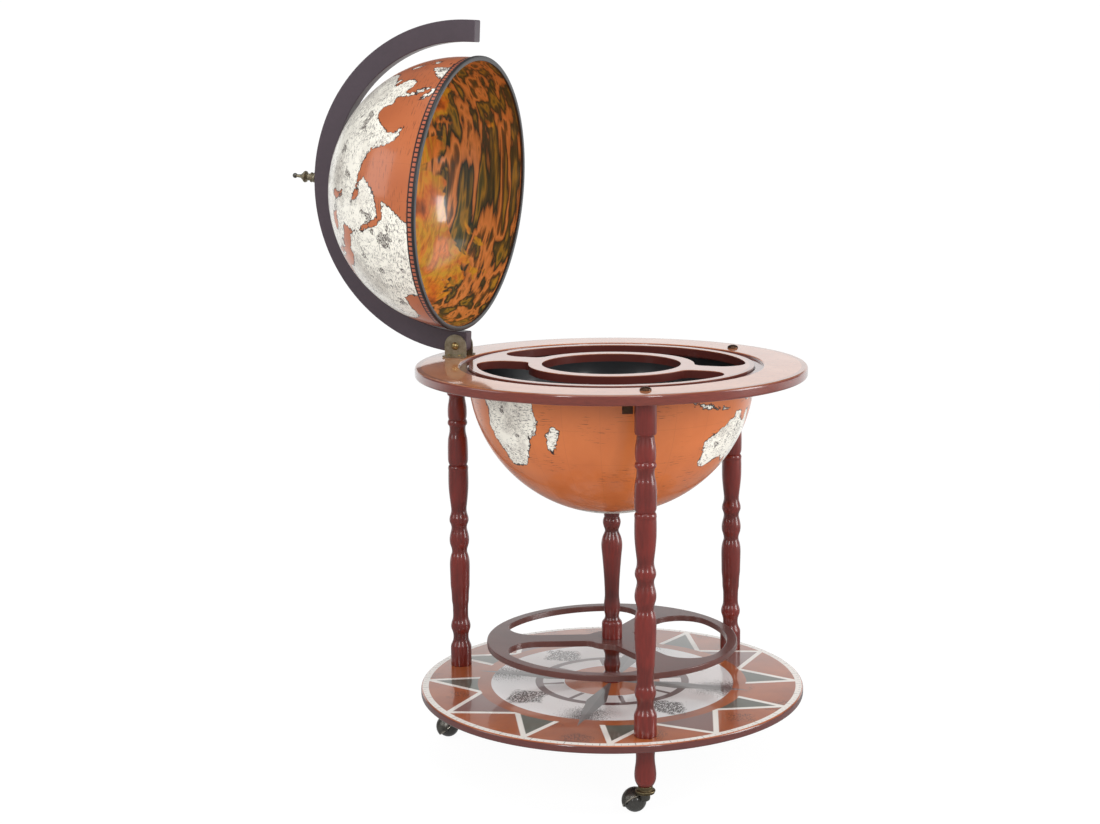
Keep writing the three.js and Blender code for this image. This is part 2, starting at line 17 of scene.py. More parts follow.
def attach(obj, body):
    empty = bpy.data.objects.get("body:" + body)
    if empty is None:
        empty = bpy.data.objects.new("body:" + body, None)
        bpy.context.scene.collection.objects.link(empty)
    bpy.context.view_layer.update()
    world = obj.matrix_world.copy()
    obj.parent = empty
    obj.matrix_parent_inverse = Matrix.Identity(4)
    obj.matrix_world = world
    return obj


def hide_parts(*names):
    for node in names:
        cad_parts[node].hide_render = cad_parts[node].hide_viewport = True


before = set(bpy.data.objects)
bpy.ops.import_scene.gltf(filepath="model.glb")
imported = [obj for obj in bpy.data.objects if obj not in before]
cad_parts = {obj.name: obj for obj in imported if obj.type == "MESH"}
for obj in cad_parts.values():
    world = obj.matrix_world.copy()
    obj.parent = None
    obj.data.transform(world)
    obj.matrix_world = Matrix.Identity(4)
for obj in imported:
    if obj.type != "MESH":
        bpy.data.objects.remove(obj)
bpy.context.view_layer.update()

MM = 0.001
BOARD_RADIUS = 290.0  # of the table and of the base
TABLE_TOP = 606.9  # height of the table
LEG_CIRCLE = 250.5  # radius on which legs, toes and casters stand
LEG_ANGLES = (180.0, -60.0, 60.0)  # their places on it in degrees
PIVOT = 246.0  # how far the hinge pin lies from the middle
CLEARANCE = 0.3  # gap between pieces that touch
PIN_HOLE = 3.3  # radius of the holes for the hinge pin and the finial's bolt
PIN_REACH = 30.0  # how far the tool for such a hole reaches to each side
SPARE = 5.0  # how far other tools reach past the piece
SHARP = 35.0  # edges with a larger angle, in degrees, are bevelled
LOG = logging.getLogger("globe_bar")
Point2 = tuple[float, float]
Point3 = tuple[float, float, float]
Outline = list[Point2]
Rows = tuple[Point2, ...]
Rgb = tuple[int, int, int]
Stops = tuple[tuple[float, Rgb], ...]
Socket = bpy.types.NodeSocket
Material = bpy.types.Material
Piece = bpy.types.Object


class Body(Enum):
    """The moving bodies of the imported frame."""

    FRAME = "frame"
    ARC = "lid_arc"
    LID = "lid"
    SWIVEL = "swivel"
    WHEEL = "wheel"


class Slot(Enum):
    """The record's material slots."""

    BASE_PRINT = "base_print"
    BOWL_PRINT = "bowl_print"
    BRASS = "antique_brass"
    CASTER_BRASS = "caster_brass"
    DARK_WOOD = "dark_wood"
    INSERT_PRINT = "insert_print"
    LID_PRINT = "lid_print"
    MAHOGANY = "mahogany"
    PEWTER = "pewter"
    RIM_TRIM = "rim_trim"
    RING_WOOD = "ring_wood"
    TABLE_PRINT = "table_print"
    WHEEL_PLASTIC = "wheel_plastic"


class Side(Enum):
    """The plane in which an outline is drawn before it is given its thickness."""

    FLAT = "flat"
    STANDING = "standing"


def tint(red: int, green: int, blue: int) -> tuple[float, float, float, float]:
    """Turns a display colour into the shader's linear colour.

    Args:
        red: Red, 0 to 255.
        green: Green, 0 to 255.
        blue: Blue, 0 to 255.

    Returns:
        Linear red, green, blue and alpha.
    """
    def one(level: int) -> float:
        """Linear share of one channel."""
        share = level / 255
        return share / 12.92 if share <= 0.04045 else ((share + 0.055) / 1.055) ** 2.4

    return one(red), one(green), one(blue), 1.0


# Shader expressions


class Wire:
    """A number inside a shader, so that masks can be written as expressions."""

    def __init__(self, graph: "Graph", socket: Socket) -> None:
        """Keeps the graph and the output socket."""
        self.graph = graph
        self.socket = socket

    def _math(self, operation: str, *values: object, clamp: bool = False) -> "Wire":
        """Adds a Math node on the given values."""
        settings = {"operation": operation, "use_clamp": clamp}
        made = self.graph.node("ShaderNodeMath", settings, dict(enumerate(values)))
        return Wire(self.graph, made.outputs[0])

    def __add__(self, other: object) -> "Wire":
        """Sum."""
        return self._math("ADD", self, other)

    __radd__ = __add__

    def __sub__(self, other: object) -> "Wire":
        """Difference."""
        return self._math("SUBTRACT", self, other)

    def __rsub__(self, other: object) -> "Wire":
        """Difference from a number."""
        return self._math("SUBTRACT", other, self)

    def __mul__(self, other: object) -> "Wire":
        """Product."""
        return self._math("MULTIPLY", self, other)

    __rmul__ = __mul__

    def __truediv__(self, other: object) -> "Wire":
        """Quotient."""
        return self._math("DIVIDE", self, other)

    def __gt__(self, other: object) -> "Wire":
        """One where this is larger."""
        return self._math("GREATER_THAN", self, other)

    def __lt__(self, other: object) -> "Wire":
        """One where this is smaller."""
        return self._math("LESS_THAN", self, other)

    def clamp(self) -> "Wire":
        """Holds the value between 0 and 1."""
        return self._math("ADD", self, 0.0, clamp=True)

    def size(self) -> "Wire":
        """Absolute value."""
        return self._math("ABSOLUTE", self)

    def root(self) -> "Wire":
        """Square root."""
        return self._math("SQRT", self)

    def sine(self) -> "Wire":
        """Sine of the value in radians."""
        return self._math("SINE", self)

    def cosine(self) -> "Wire":
        """Cosine of the value in radians."""
        return self._math("COSINE", self)

    def turn_from(self, other: "Wire") -> "Wire":
        """Angle in radians of the point with this as its height and the other as its run."""
        return self._math("ARCTAN2", self, other)

    def fold(self, period: float) -> "Wire":
        """Distance to the nearest whole multiple of a period."""
        return self._math("PINGPONG", self, period / 2)

    def wrap(self, low: float, high: float) -> "Wire":
        """Brings the value into a range by whole periods."""
        return self._math("WRAP", self, high, low)

    def most(self, other: object) -> "Wire":
        """The larger of two."""
        return self._math("MAXIMUM", self, other)

    def over(self, edge: float, soft: float) -> "Wire":
        """A soft step: 0 below the edge, 1 above it, over a width."""
        return ((self - edge) / soft + 0.5).clamp()

    def near(self, centre: object, half: float, soft: float) -> "Wire":
        """A band: 1 within half of a centre, with soft borders."""
        return 1 - (self - centre).size().over(half, soft)


class Graph:
    """The node tree of one material or of the world."""

    def __init__(self, name: str, world: bool = False) -> None:
        """Makes an empty material, or an empty world, of the given name."""
        self.owner = (bpy.data.worlds if world else bpy.data.materials).new(name)
        self.owner.use_nodes = True
        self.tree = self.owner.node_tree
        self.tree.nodes.clear()

    def node(self, kind: str, settings: dict[str, object], values: dict[object, object]) -> bpy.types.Node:
        """Adds a node.

        Args:
            kind: The node's type.
            settings: Properties, set first. A ramp's stops go under "stops".
            values: Input sockets by name or number, each a number, a colour, a Wire or a socket.

        Returns:
            The new node.
        """
        made = self.tree.nodes.new(kind)
        for key, setting in settings.items():
            if key == "stops":
                self._stops(made.color_ramp, setting)
            else:
                setattr(made, key, setting)
        for key, value in values.items():
            link = value.socket if isinstance(value, Wire) else value
            if isinstance(link, Socket):
                self.tree.links.new(link, made.inputs[key])
            else:
                made.inputs[key].default_value = link
        return made

    @staticmethod
    def _stops(ramp: bpy.types.ColorRamp, stops: Stops) -> None:
        """Sets a ramp's places and colours."""
        while len(ramp.elements) < len(stops):
            ramp.elements.new(1.0)
        for element, (place, colour) in zip(ramp.elements, stops):
            element.position = place
            element.color = tint(*colour)

    def wire(self, socket: Socket) -> Wire:
        """Wraps a socket."""
        return Wire(self, socket)

    def place(self) -> Socket:
        """The object's own coordinates."""
        return self.node("ShaderNodeTexCoord", {}, {}).outputs["Object"]

    def own(self, name: str) -> bpy.types.Node:
        """A stored attribute of the mesh."""
        return self.node("ShaderNodeAttribute", {"attribute_name": name}, {})

    def parts(self, vector: Socket) -> tuple[Wire, Wire, Wire]:
        """Splits a vector into three numbers."""
        split = self.node("ShaderNodeSeparateXYZ", {}, {0: vector})
        return self.wire(split.outputs[0]), self.wire(split.outputs[1]), self.wire(split.outputs[2])

    def join(self, x: object, y: object, z: object) -> Socket:
        """Joins three numbers into a vector."""
        return self.node("ShaderNodeCombineXYZ", {}, {0: x, 1: y, 2: z}).outputs[0]

    def stretch(self, vector: Socket, by: Point3) -> Socket:
        """Scales a vector unevenly."""
        return self.node("ShaderNodeVectorMath", {"operation": "MULTIPLY"}, {0: vector, 1: by}).outputs[0]

    def push(self, vector: Socket, by: Socket, amount: float) -> Socket:
        """Moves a vector by an amount of another one."""
        settings = {"operation": "MULTIPLY_ADD"}
        return self.node("ShaderNodeVectorMath", settings, {0: by, 1: (amount,) * 3, 2: vector}).outputs[0]

    def noise(self, vector: Socket, scale: float, detail: float = 3.0,
              rough: float = 0.55, twist: float = 0.0) -> Wire:
        """Cloud noise from 0 to 1."""
        return self.wire(self._noise(vector, scale, detail, rough, twist).outputs[0])

    def drift(self, vector: Socket, scale: float) -> Socket:
        """Cloud noise as a vector."""
        return self._noise(vector, scale, 2.0, 0.5, 0.0).outputs[1]

    def _noise(self, vector: Socket, scale: float, detail: float, rough: float,
               twist: float) -> bpy.types.Node:
        """Adds a Noise node."""
        values = {"Vector": vector, "Scale": scale, "Detail": detail, "Roughness": rough, "Distortion": twist}
        return self.node("ShaderNodeTexNoise", {}, values)

    def cells(self, vector: Socket, scale: float) -> tuple[Wire, Wire]:
        """Distance to scattered points, and one random number for each."""
        made = self.node("ShaderNodeTexVoronoi", {}, {"Vector": vector, "Scale": scale})
        return self.wire(made.outputs["Distance"]), self.parts(made.outputs["Color"])[0]

    def mix(self, share: object, first: Socket | Rgb, second: Socket | Rgb) -> Socket:
        """Mixes two colours, each a socket or a display colour."""
        first, second = (tint(*each) if isinstance(each, tuple) else each for each in (first, second))
        values = {0: share, 6: first, 7: second}
        return self.node("ShaderNodeMix", {"data_type": "RGBA"}, values).outputs[2]

    def ramp(self, share: Wire, stops: Stops) -> Socket:
        """Reads a colour from a row of stops."""
        return self.node("ShaderNodeValToRGB", {"stops": stops}, {0: share}).outputs[0]

    def bump(self, height: Wire, strength: float, distance: float) -> Socket:
        """Turns a height into a normal."""
        values = {"Height": height, "Strength": strength, "Distance": distance}
        return self.node("ShaderNodeBump", {}, values).outputs[0]

    def surface(self, **values: object) -> Material:
        """Ends the material in a Principled surface.

        Args:
            values: Inputs by name, with underscores for spaces.

        Returns:
            The finished material.
        """
        inputs = {key.replace("_", " "): value for key, value in values.items()}
        return self.close(self.node("ShaderNodeBsdfPrincipled", {}, inputs))

    def glow(self, strength: object) -> bpy.types.Node:
        """A white emission shader."""
        return self.node("ShaderNodeEmission", {}, {"Color": (1, 1, 1, 1), "Strength": strength})

    def blend(self, share: object, first: bpy.types.Node, second: bpy.types.Node) -> bpy.types.Node:
        """Mixes two shaders."""
        values = {0: share, 1: first.outputs[0], 2: second.outputs[0]}
        return self.node("ShaderNodeMixShader", {}, values)

    def close(self, shader: bpy.types.Node, kind: str = "ShaderNodeOutputMaterial") -> Material:
        """Links the last shader to the output and returns the finished material or world."""
        self.node(kind, {}, {0: shader.outputs[0]})
        return self.owner


# Finishes


@dataclass(frozen=True)
class Lacquer:
    """Gloss or satin lacquer over stained wood."""

    name: str
    light: Rgb
    dark: Rgb
    gloss: float
    rough: float
    grain: Point3 = (60.0, 60.0, 6.0)
    haze: float = 0.15
    # whether the grooves are darkened with painted shade and glaze
    glaze: bool = False

    def build(self) -> Material:
        """Makes the material, darker in the grooves by the mask that the piece stores: painted shade, with
        glaze.
        """
        graph = Graph(self.name)
        place = graph.place()
        streak = graph.noise(graph.stretch(place, self.grain), 4.0, 5.0, 0.6, 0.8)
        cloud = graph.noise(place, 14.0, 2.0)
        share = ((streak - 0.5) * 0.7 + (cloud - 0.5) * 0.6 + 0.45).clamp()
        # painted shade and glaze darken the grooves
        if self.glaze:
            share = (share + graph.wire(graph.own("glaze").outputs[2]) * 1.2).clamp()
        colour = graph.mix(share, self.light, self.dark)
        rough = cloud * 0.08 + self.rough
        return graph.surface(
            Base_Color=colour, Roughness=rough, Coat_Weight=self.gloss, Coat_Roughness=self.haze,
            Normal=graph.bump(streak, 0.06, 0.0004),
        )


@dataclass(frozen=True)
class Brass:
    """Aged metal, darker and worn brighter in patches at random."""

    name: str
    bright: Rgb
    dark: Rgb
    rough: float = 0.3
    patches: float = 110.0

    def build(self) -> Material:
        """Makes the material."""
        graph = Graph(self.name)
        place = graph.place()
        patch = graph.noise(place, self.patches, 4.0, 0.6)
        speck = graph.noise(place, 900.0, 2.0)
        worn = (patch * 0.8 + speck * 0.2).over(0.5, 0.5)
        colour = graph.mix(worn, self.dark, self.bright)
        return graph.surface(
            Base_Color=colour, Metallic=0.9, Roughness=(1 - worn) * 0.22 + self.rough,
            Normal=graph.bump(speck, 0.12, 0.0002),
        )


@dataclass(frozen=True)
class Moulding:
    """Moulded plastic with a fine skin."""

    name: str
    colour: Rgb
    rough: float
    gloss: float = 0.0

    def build(self) -> Material:
        """Makes the material."""
        graph = Graph(self.name)
        place = graph.place()
        skin = graph.noise(place, 700.0, 2.0)
        cloud = graph.noise(place, 30.0, 2.0)
        shade = tuple(max(level - 12, 0) for level in self.colour)
        colour = graph.mix(cloud, self.colour, shade)
        return graph.surface(
            Base_Color=colour, Roughness=skin * 0.1 + self.rough, Coat_Weight=self.gloss,
            Coat_Roughness=0.1, Normal=graph.bump(skin, 0.05, 0.0002),
        )


@dataclass(frozen=True)
class MapPrint:
    """Terracotta seas, cream lands in brown ink, and a scale band at the equator."""

    name: str
    sea: Rgb
    deep: Rgb
    land: Rgb = (250, 246, 234)
    ink: Rgb = (58, 38, 34)
    shore: Rgb = (44, 30, 28)
    scale_tint: Rgb = (186, 100, 70)
    rung: Rgb = (44, 32, 32)
    grey_cloud: Rgb = (128, 112, 102)
    band_low: float = 0.0
    band_high: float = 0.0
    bays: float = 3.4
    inlets: float = 3.0
    grid_step: float = 15.0
    grid_half: float = 0.0009
    rung_step: float = 2.0
    rung_half: float = 0.0058

    def build(self) -> Material:
        """Makes the material from the piece's land distance and its place on the globe."""
        graph = Graph(self.name)
        globe = graph.own("globe").outputs["Vector"]
        east, north, up = graph.parts(globe)
        turn = east.turn_from(0 - north)
        level = up.turn_from((east * east + north * north).root())
        coast = graph.wire(graph.own("land").outputs[2])
        bays = (graph.noise(globe, 70.0, 5.0, 0.62) - 0.5) * self.bays
        inlets = (graph.noise(globe, 190.0, 4.0, 0.6) - 0.5) * self.inlets
        coast = coast + bays + inlets
        sea = self._sea(graph, globe, turn, level)
        land = self._land(graph, globe, turn, level, coast)
        colour = graph.mix(coast.over(0.0, 0.35), sea, land)
        shore = (coast.size() - graph.noise(globe, 60.0, 3.0) * 0.55 + 0.13) / 0.18
        colour = graph.mix(1 - shore.clamp(), colour, self.shore)
        if self.band_high > self.band_low:
            colour = self._band(graph, colour, turn, up)
        rough = graph.noise(globe, 40.0, 3.0) * 0.12 + 0.3
        return graph.surface(Base_Color=colour, Roughness=rough, Coat_Weight=0.55, Coat_Roughness=0.12)

    def _sea(self, graph: Graph, globe: Socket, turn: Wire, level: Wire) -> Socket:
        """Paints the seas with faint grid lines and rows of short current marks."""
        cloud = graph.noise(globe, 9.0, 4.0, 0.6)
        colour = graph.mix(cloud.over(0.5, 0.5), self.sea, self.deep)
        step = math.radians(self.grid_step)
        meridians = (turn.fold(step) * level.cosine()).near(0.0, self.grid_half, 0.002)
        grid = meridians.most(level.fold(step).near(0.0, self.grid_half, 0.002))
        dash = graph.noise(graph.join(turn * 10, level * 140, 0.0), 1.0, 3.0)
        group = graph.noise(globe, 16.0, 1.0)
        marks = dash.over(0.62, 0.04) * group.over(0.53, 0.05)
        return graph.mix((grid * 0.2 + marks * 0.6).clamp(), colour, self.ink)

    def _land(self, graph: Graph, globe: Socket, turn: Wire, level: Wire, coast: Wire) -> Socket:
        """Paints the lands with rivers, rows of fine strokes, dense hatched patches and grey clouds laid at
        random.
        """
        gate = graph.noise(globe, 22.0, 2.0)
        rivers = graph.noise(globe, 62.0, 6.0, 0.7, 0.5).near(0.5, 0.007, 0.008) * gate.over(0.5, 0.06)
        rivers = rivers.most(graph.noise(globe, 24.0, 6.0, 0.7, 0.6).near(0.5, 0.004, 0.004))
        rows = graph.noise(graph.join(turn * 30, level * 110, 0.0), 1.0, 3.0, 0.6)
        hills = rows.over(0.58, 0.04) * graph.noise(globe, 30.0, 3.0).over(0.46, 0.06)
        patch = graph.noise(graph.stretch(globe, (1.0, 1.5, 1.2)), 30.0, 2.0).over(0.65, 0.012)
        hatch = graph.noise(graph.join(turn * 60, level * 190, 1.0), 1.0, 3.0).over(0.48, 0.06) * patch
        # grey clouds at random over the lands
        shade = graph.noise(globe, 12.0, 6.0, 0.72).over(0.6, 0.16) * 0.5
        tone = graph.mix(shade, self.land, self.grey_cloud)
        inks = (rivers * 0.85).most(hills * 0.75).most(hatch) * coast.over(0.3, 0.4)
        return graph.mix(inks, tone, self.ink)

    def _band(self, graph: Graph, colour: Socket, turn: Wire, up: Wire) -> Socket:
        """Adds the ladder scale between two heights."""
        middle = (self.band_low + self.band_high) / 2 * MM
        half = (self.band_high - self.band_low) / 2 * MM
        inside = up.near(middle, half, 0.0004)
        rungs = turn.fold(math.radians(self.rung_step)).near(0.0, self.rung_half, 0.002)
        low_rail = up.near(self.band_low * MM, 0.0009, 0.0004)
        high_rail = up.near(self.band_high * MM, 0.0011, 0.0004)
        colour = graph.mix(inside, colour, self.scale_tint)
        return graph.mix((rungs * inside).most(low_rail.most(high_rail)), colour, self.rung)


@dataclass(frozen=True)
class MarbledInside:
    """Glossy marbled paint in ochre, orange and dark green."""

    name: str
    streak_stops: Stops = (
        (0.28, (34, 48, 38)), (0.36, (92, 90, 44)), (0.40, (176, 132, 46)), (0.44, (86, 78, 44)),
        (0.48, (38, 50, 40)), (0.515, (206, 126, 62)), (0.56, (230, 146, 78)), (0.59, (128, 82, 40)),
        (0.64, (50, 58, 42)), (0.70, (196, 146, 48)),
    )
    glow_stops: Stops = (
        (0.30, (120, 66, 30)), (0.38, (214, 112, 40)), (0.44, (226, 150, 44)), (0.50, (212, 162, 42)),
        (0.55, (206, 122, 44)), (0.60, (236, 138, 58)), (0.70, (240, 160, 92)),
    )
    vein: Rgb = (132, 64, 28)
    mid_height: float = 0.11
    fade: float = 0.07

    def build(self) -> Material:
        """Makes the material from the piece's place on the globe."""
        graph = Graph(self.name)
        globe = graph.own("globe").outputs["Vector"]
        east, _, up = graph.parts(globe)
        swirl = graph.push(globe, graph.drift(globe, 5.0), 0.02)
        flow = graph.noise(graph.stretch(swirl, (3.4, 12.0, 34.0)), 1.5, 2.0, 0.5, 0.35)
        fine = graph.noise(graph.stretch(swirl, (9.0, 60.0, 200.0)), 1.2, 3.0, 0.6, 0.4)
        share = (flow * 0.86 + fine * 0.14).clamp()
        streaks = graph.ramp(share, self.streak_stops)
        warm = graph.noise(graph.stretch(swirl, (6.0, 9.0, 16.0)), 1.5, 4.0, 0.55, 0.6)
        glow = graph.ramp(warm, self.glow_stops)
        glow = graph.mix(fine.over(0.56, 0.2) * 0.5, glow, self.vein)
        wash = graph.noise(globe, 8.0, 4.0, 0.6, 0.8)
        side = (wash - 0.5) * 6.0 + (self.mid_height - up) / self.fade + east * 2.4
        brush = graph.noise(graph.stretch(globe, (60.0, 400.0, 300.0)), 1.0, 3.0)
        return graph.surface(
            Base_Color=graph.mix(side.over(0.5, 0.16), glow, streaks), Roughness=brush * 0.1 + 0.26,
            Coat_Weight=0.8, Coat_Roughness=0.1, Normal=graph.bump(brush, 0.05, 0.0003),
        )


@dataclass(frozen=True)
class TablePrint:
    """Printed board under gloss lacquer: a clouded field, a border line and stained edges."""

    name: str
    top: float
    outer: float
    field_tint: Rgb = (216, 140, 90)
    edge: Rgb = (136, 60, 46)
    cloud_tint: Rgb = (188, 110, 66)
    vein: Rgb = (96, 46, 34)
    line: Rgb = (110, 56, 42)
    edge_dark: Rgb = (88, 40, 34)
    border: float = 9.0

    def build(self) -> Material:
        """Makes the material."""
        graph = Graph(self.name)
        place = graph.place()
        x, y, z = graph.parts(place)
        radius = (x * x + y * y).root()
        cloud = graph.noise(place, 11.0, 5.0, 0.6)
        veins = graph.noise(place, 34.0, 5.0, 0.65, 0.7).near(0.5, 0.012, 0.03) * 0.3
        colour = graph.mix(cloud.over(0.5, 0.5), self.field_tint, self.cloud_tint)
        colour = graph.mix(veins, colour, self.vein)
        inner = (self.outer - self.border) * MM
        border = radius.over(inner, 0.002) * 0.55
        line = radius.near(inner, 0.0004, 0.0006)
        colour = graph.mix(border.most(line * 0.8), colour, self.line)
        streak = graph.noise(graph.stretch(place, (30.0, 30.0, 220.0)), 3.0, 3.0)
        wood = graph.mix(streak, self.edge, self.edge_dark)
        colour = graph.mix(z.over((self.top - 1.0) * MM, 0.0004), wood, colour)
        rough = cloud * 0.1 + 0.24
        return graph.surface(Base_Color=colour, Roughness=rough, Coat_Weight=1.0, Coat_Roughness=0.05)


@dataclass(frozen=True)
class RosePrint:
    """The base disc's compass rose, with twelve outlined points and a scale band."""

    name: str
    radius: float
    top: float
    turned: float = 19.38 - 13.5
    pale: Rgb = (250, 247, 240)
    clay: Rgb = (188, 104, 54)
    moss: Rgb = (96, 100, 88)
    mauve: Rgb = (138, 104, 98)
    slate: Rgb = (122, 118, 116)
    clay_dark: Rgb = (150, 76, 42)
    patch: Rgb = (74, 40, 30)
    moss_dark: Rgb = (66, 72, 62)
    mauve_dark: Rgb = (112, 80, 76)
    slate_dark: Rgb = (84, 76, 76)
    white: Rgb = (250, 248, 248)
    white_dark: Rgb = (226, 222, 222)
    dot: Rgb = (72, 62, 60)
    hatching: Rgb = (66, 48, 44)
    hub_tint: Rgb = (190, 104, 58)
    ring_tint: Rgb = (104, 72, 70)
    tick: Rgb = (90, 74, 66)
    wood: Rgb = (112, 60, 54)
    wood_dark: Rgb = (84, 42, 40)
    low: float = 0.70
    high: float = 0.962
    disc: float = 0.635
    hub: float = 0.25
    bar: float = 0.31
    ring: float = 0.383
    band: float = 0.976
    star_tip: Point2 = (0.0, 0.735)
    star_valley: Point2 = (8.7, 0.345)

    def _edge(self, across: Wire, along: Wire, start: Point2, end: Point2) -> Wire:
        """Signed distance to the line through two points given as degrees and radius shares."""
        first = self._flat(start)
        last = self._flat(end)
        run = (last[0] - first[0], last[1] - first[1])
        length = math.hypot(*run)
        return (across - first[0]) * (-run[1] / length) + (along - first[1]) * (run[0] / length)

    @staticmethod
    def _flat(point: Point2) -> Point2:
        """Turns degrees and a radius share into flat shares."""
        turn = math.radians(point[0])
        return point[1] * math.sin(turn), point[1] * math.cos(turn)

    def build(self) -> Material:
        """Makes the material from the disc's own coordinates."""
        graph = Graph(self.name)
        place = graph.place()
        x, y, z = graph.parts(place)
        scale = 1 / (self.radius * MM)
        radius = (x * x + y * y).root() * scale
        turn = x.turn_from(0 - y) - math.radians(self.turned)
        quarter = turn.wrap(-math.pi / 4, math.pi / 4)
        across = quarter.size().sine() * radius
        along = quarter.size().cosine() * radius
        colour = self._field(graph, place, radius)
        colour = self._points(graph, place, colour, across, along, radius)
        colour = self._disc(graph, place, colour, across, along, radius, quarter)
        colour = self._scale(graph, colour, radius, turn)
        streak = graph.noise(graph.stretch(place, (20.0, 20.0, 200.0)), 3.0, 3.0)
        wood = graph.mix(streak, self.wood, self.wood_dark)
        colour = graph.mix(z.over((self.top - 1.2) * MM, 0.0005), wood, colour)
        return graph.surface(Base_Color=colour, Roughness=0.28, Coat_Weight=1.0, Coat_Roughness=0.05)

    def _field(self, graph: Graph, place: Socket, radius: Wire) -> Socket:
        """Paints the clouded clay field with faint hatched patches."""
        cloud = graph.noise(place, 12.0, 4.0, 0.6)
        colour = graph.mix(cloud.over(0.5, 0.45), self.clay, self.clay_dark)
        distance, pick = graph.cells(place, 13.0)
        ragged = distance + (graph.noise(place, 70.0, 3.0) - 0.5) * 0.4
        patch = (1 - ragged.over(0.32, 0.12)) * pick.over(0.35, 0.04)
        hatch = graph.noise(graph.stretch(place, (520.0, 220.0, 1.0)), 1.0, 3.0).over(0.52, 0.08)
        return graph.mix(patch * hatch * radius.over(0.72, 0.02) * 0.75, colour, self.patch)

    def _points(self, graph: Graph, place: Socket, colour: Socket, across: Wire,
                along: Wire, radius: Wire) -> Socket:
        """Adds the outlined points, two green and one mauve in each quarter."""
        near, tip, valley, crown = (9.5, self.low), (12.8, self.high), (29.0, self.low), (45.0, self.high)
        thick = 0.0135
        first = self._edge(across, along, near, tip)
        second = self._edge(across, along, tip, valley)
        third = self._edge(across, along, valley, crown)
        outside = radius.over(0.705, 0.004)
        green = (first < 0) * (second < 0) * outside
        brown = (third < 0) * outside
        grain = graph.noise(place, 90.0, 4.0) * 0.3
        moss = graph.mix(grain, self.moss, self.moss_dark)
        mauve = graph.mix(grain, self.mauve, self.mauve_dark)
        colour = graph.mix(green, colour, moss)
        colour = graph.mix(brown, colour, mauve)
        reach = radius.over(self.low, 0.006) * (1 - radius.over(self.high, 0.004))
        lines = first.near(0.0, thick, 0.004) * (second < thick)
        lines = lines.most(second.near(0.0, thick, 0.004) * (first < thick))
        lines = lines.most(third.near(0.0, thick, 0.004))
        return graph.mix(lines * reach, colour, self.pale)

    def _disc(self, graph: Graph, place: Socket, colour: Socket, across: Wire,
              along: Wire, radius: Wire, quarter: Wire) -> Socket:
        """Adds the white disc with its ring, the four long points and their stipple."""
        disc = 1 - radius.over(self.disc, 0.003)
        white = graph.mix(graph.noise(place, 8.0, 3.0) * 0.3, self.white, self.white_dark)
        colour = graph.mix(disc, colour, white)
        dots = graph.noise(place, 640.0, 1.0)
        fade = (0.75 - (quarter.size() - 0.08) * 3.0).clamp() * radius.over(0.44, 0.12)
        stipple = (dots + fade * 0.42).over(0.76, 0.03) * disc
        colour = graph.mix(stipple, colour, self.dot)
        distance = ((quarter.size() - math.radians(43)) * radius).size() + (radius - 0.51).size() * 0.8
        ragged = distance + (graph.noise(place, 55.0, 4.0) - 0.5) * 0.12
        hatch = graph.noise(graph.stretch(place, (430.0, 170.0, 1.0)), 1.0, 5.0, 0.65).over(0.46, 0.08)
        colour = graph.mix((1 - ragged.over(0.1, 0.03)) * hatch, colour, self.hatching)
        hub = 1 - radius.over(self.hub, 0.003)
        colour = graph.mix(hub, colour, self.hub_tint)
        spokes = (quarter.size() - math.pi / 8).size() * radius
        bars = spokes.near(0.0, 0.012, 0.004) * radius.near(self.bar, 0.055, 0.003)
        ring = radius.near(self.ring, 0.02, 0.003)
        colour = graph.mix(bars.most(ring), colour, self.ring_tint)
        slope = self._edge(across, along, self.star_tip, self.star_valley)
        inner = self._edge(across, along, self.star_valley, (0.0, 0.0))
        star = (slope < 0) * (inner < 0)
        side = (quarter > 0) * 0.45
        slate = graph.mix(side, self.slate, self.slate_dark)
        return graph.mix(star, colour, slate)

    def _scale(self, graph: Graph, colour: Socket, radius: Wire, turn: Wire) -> Socket:
        """Adds the pale scale band and its ticks."""
        band = radius.near(self.band, 0.0155, 0.003)
        colour = graph.mix(band, colour, self.pale)
        fine = turn.fold(math.radians(2)).near(0.0, 0.0016, 0.002) * radius.near(0.982, 0.006, 0.003)
        coarse = turn.fold(math.radians(10)).near(0.0, 0.0022, 0.002) * band
        return graph.mix(fine.most(coarse) * 0.7, colour, self.tick)


# Modelling bench


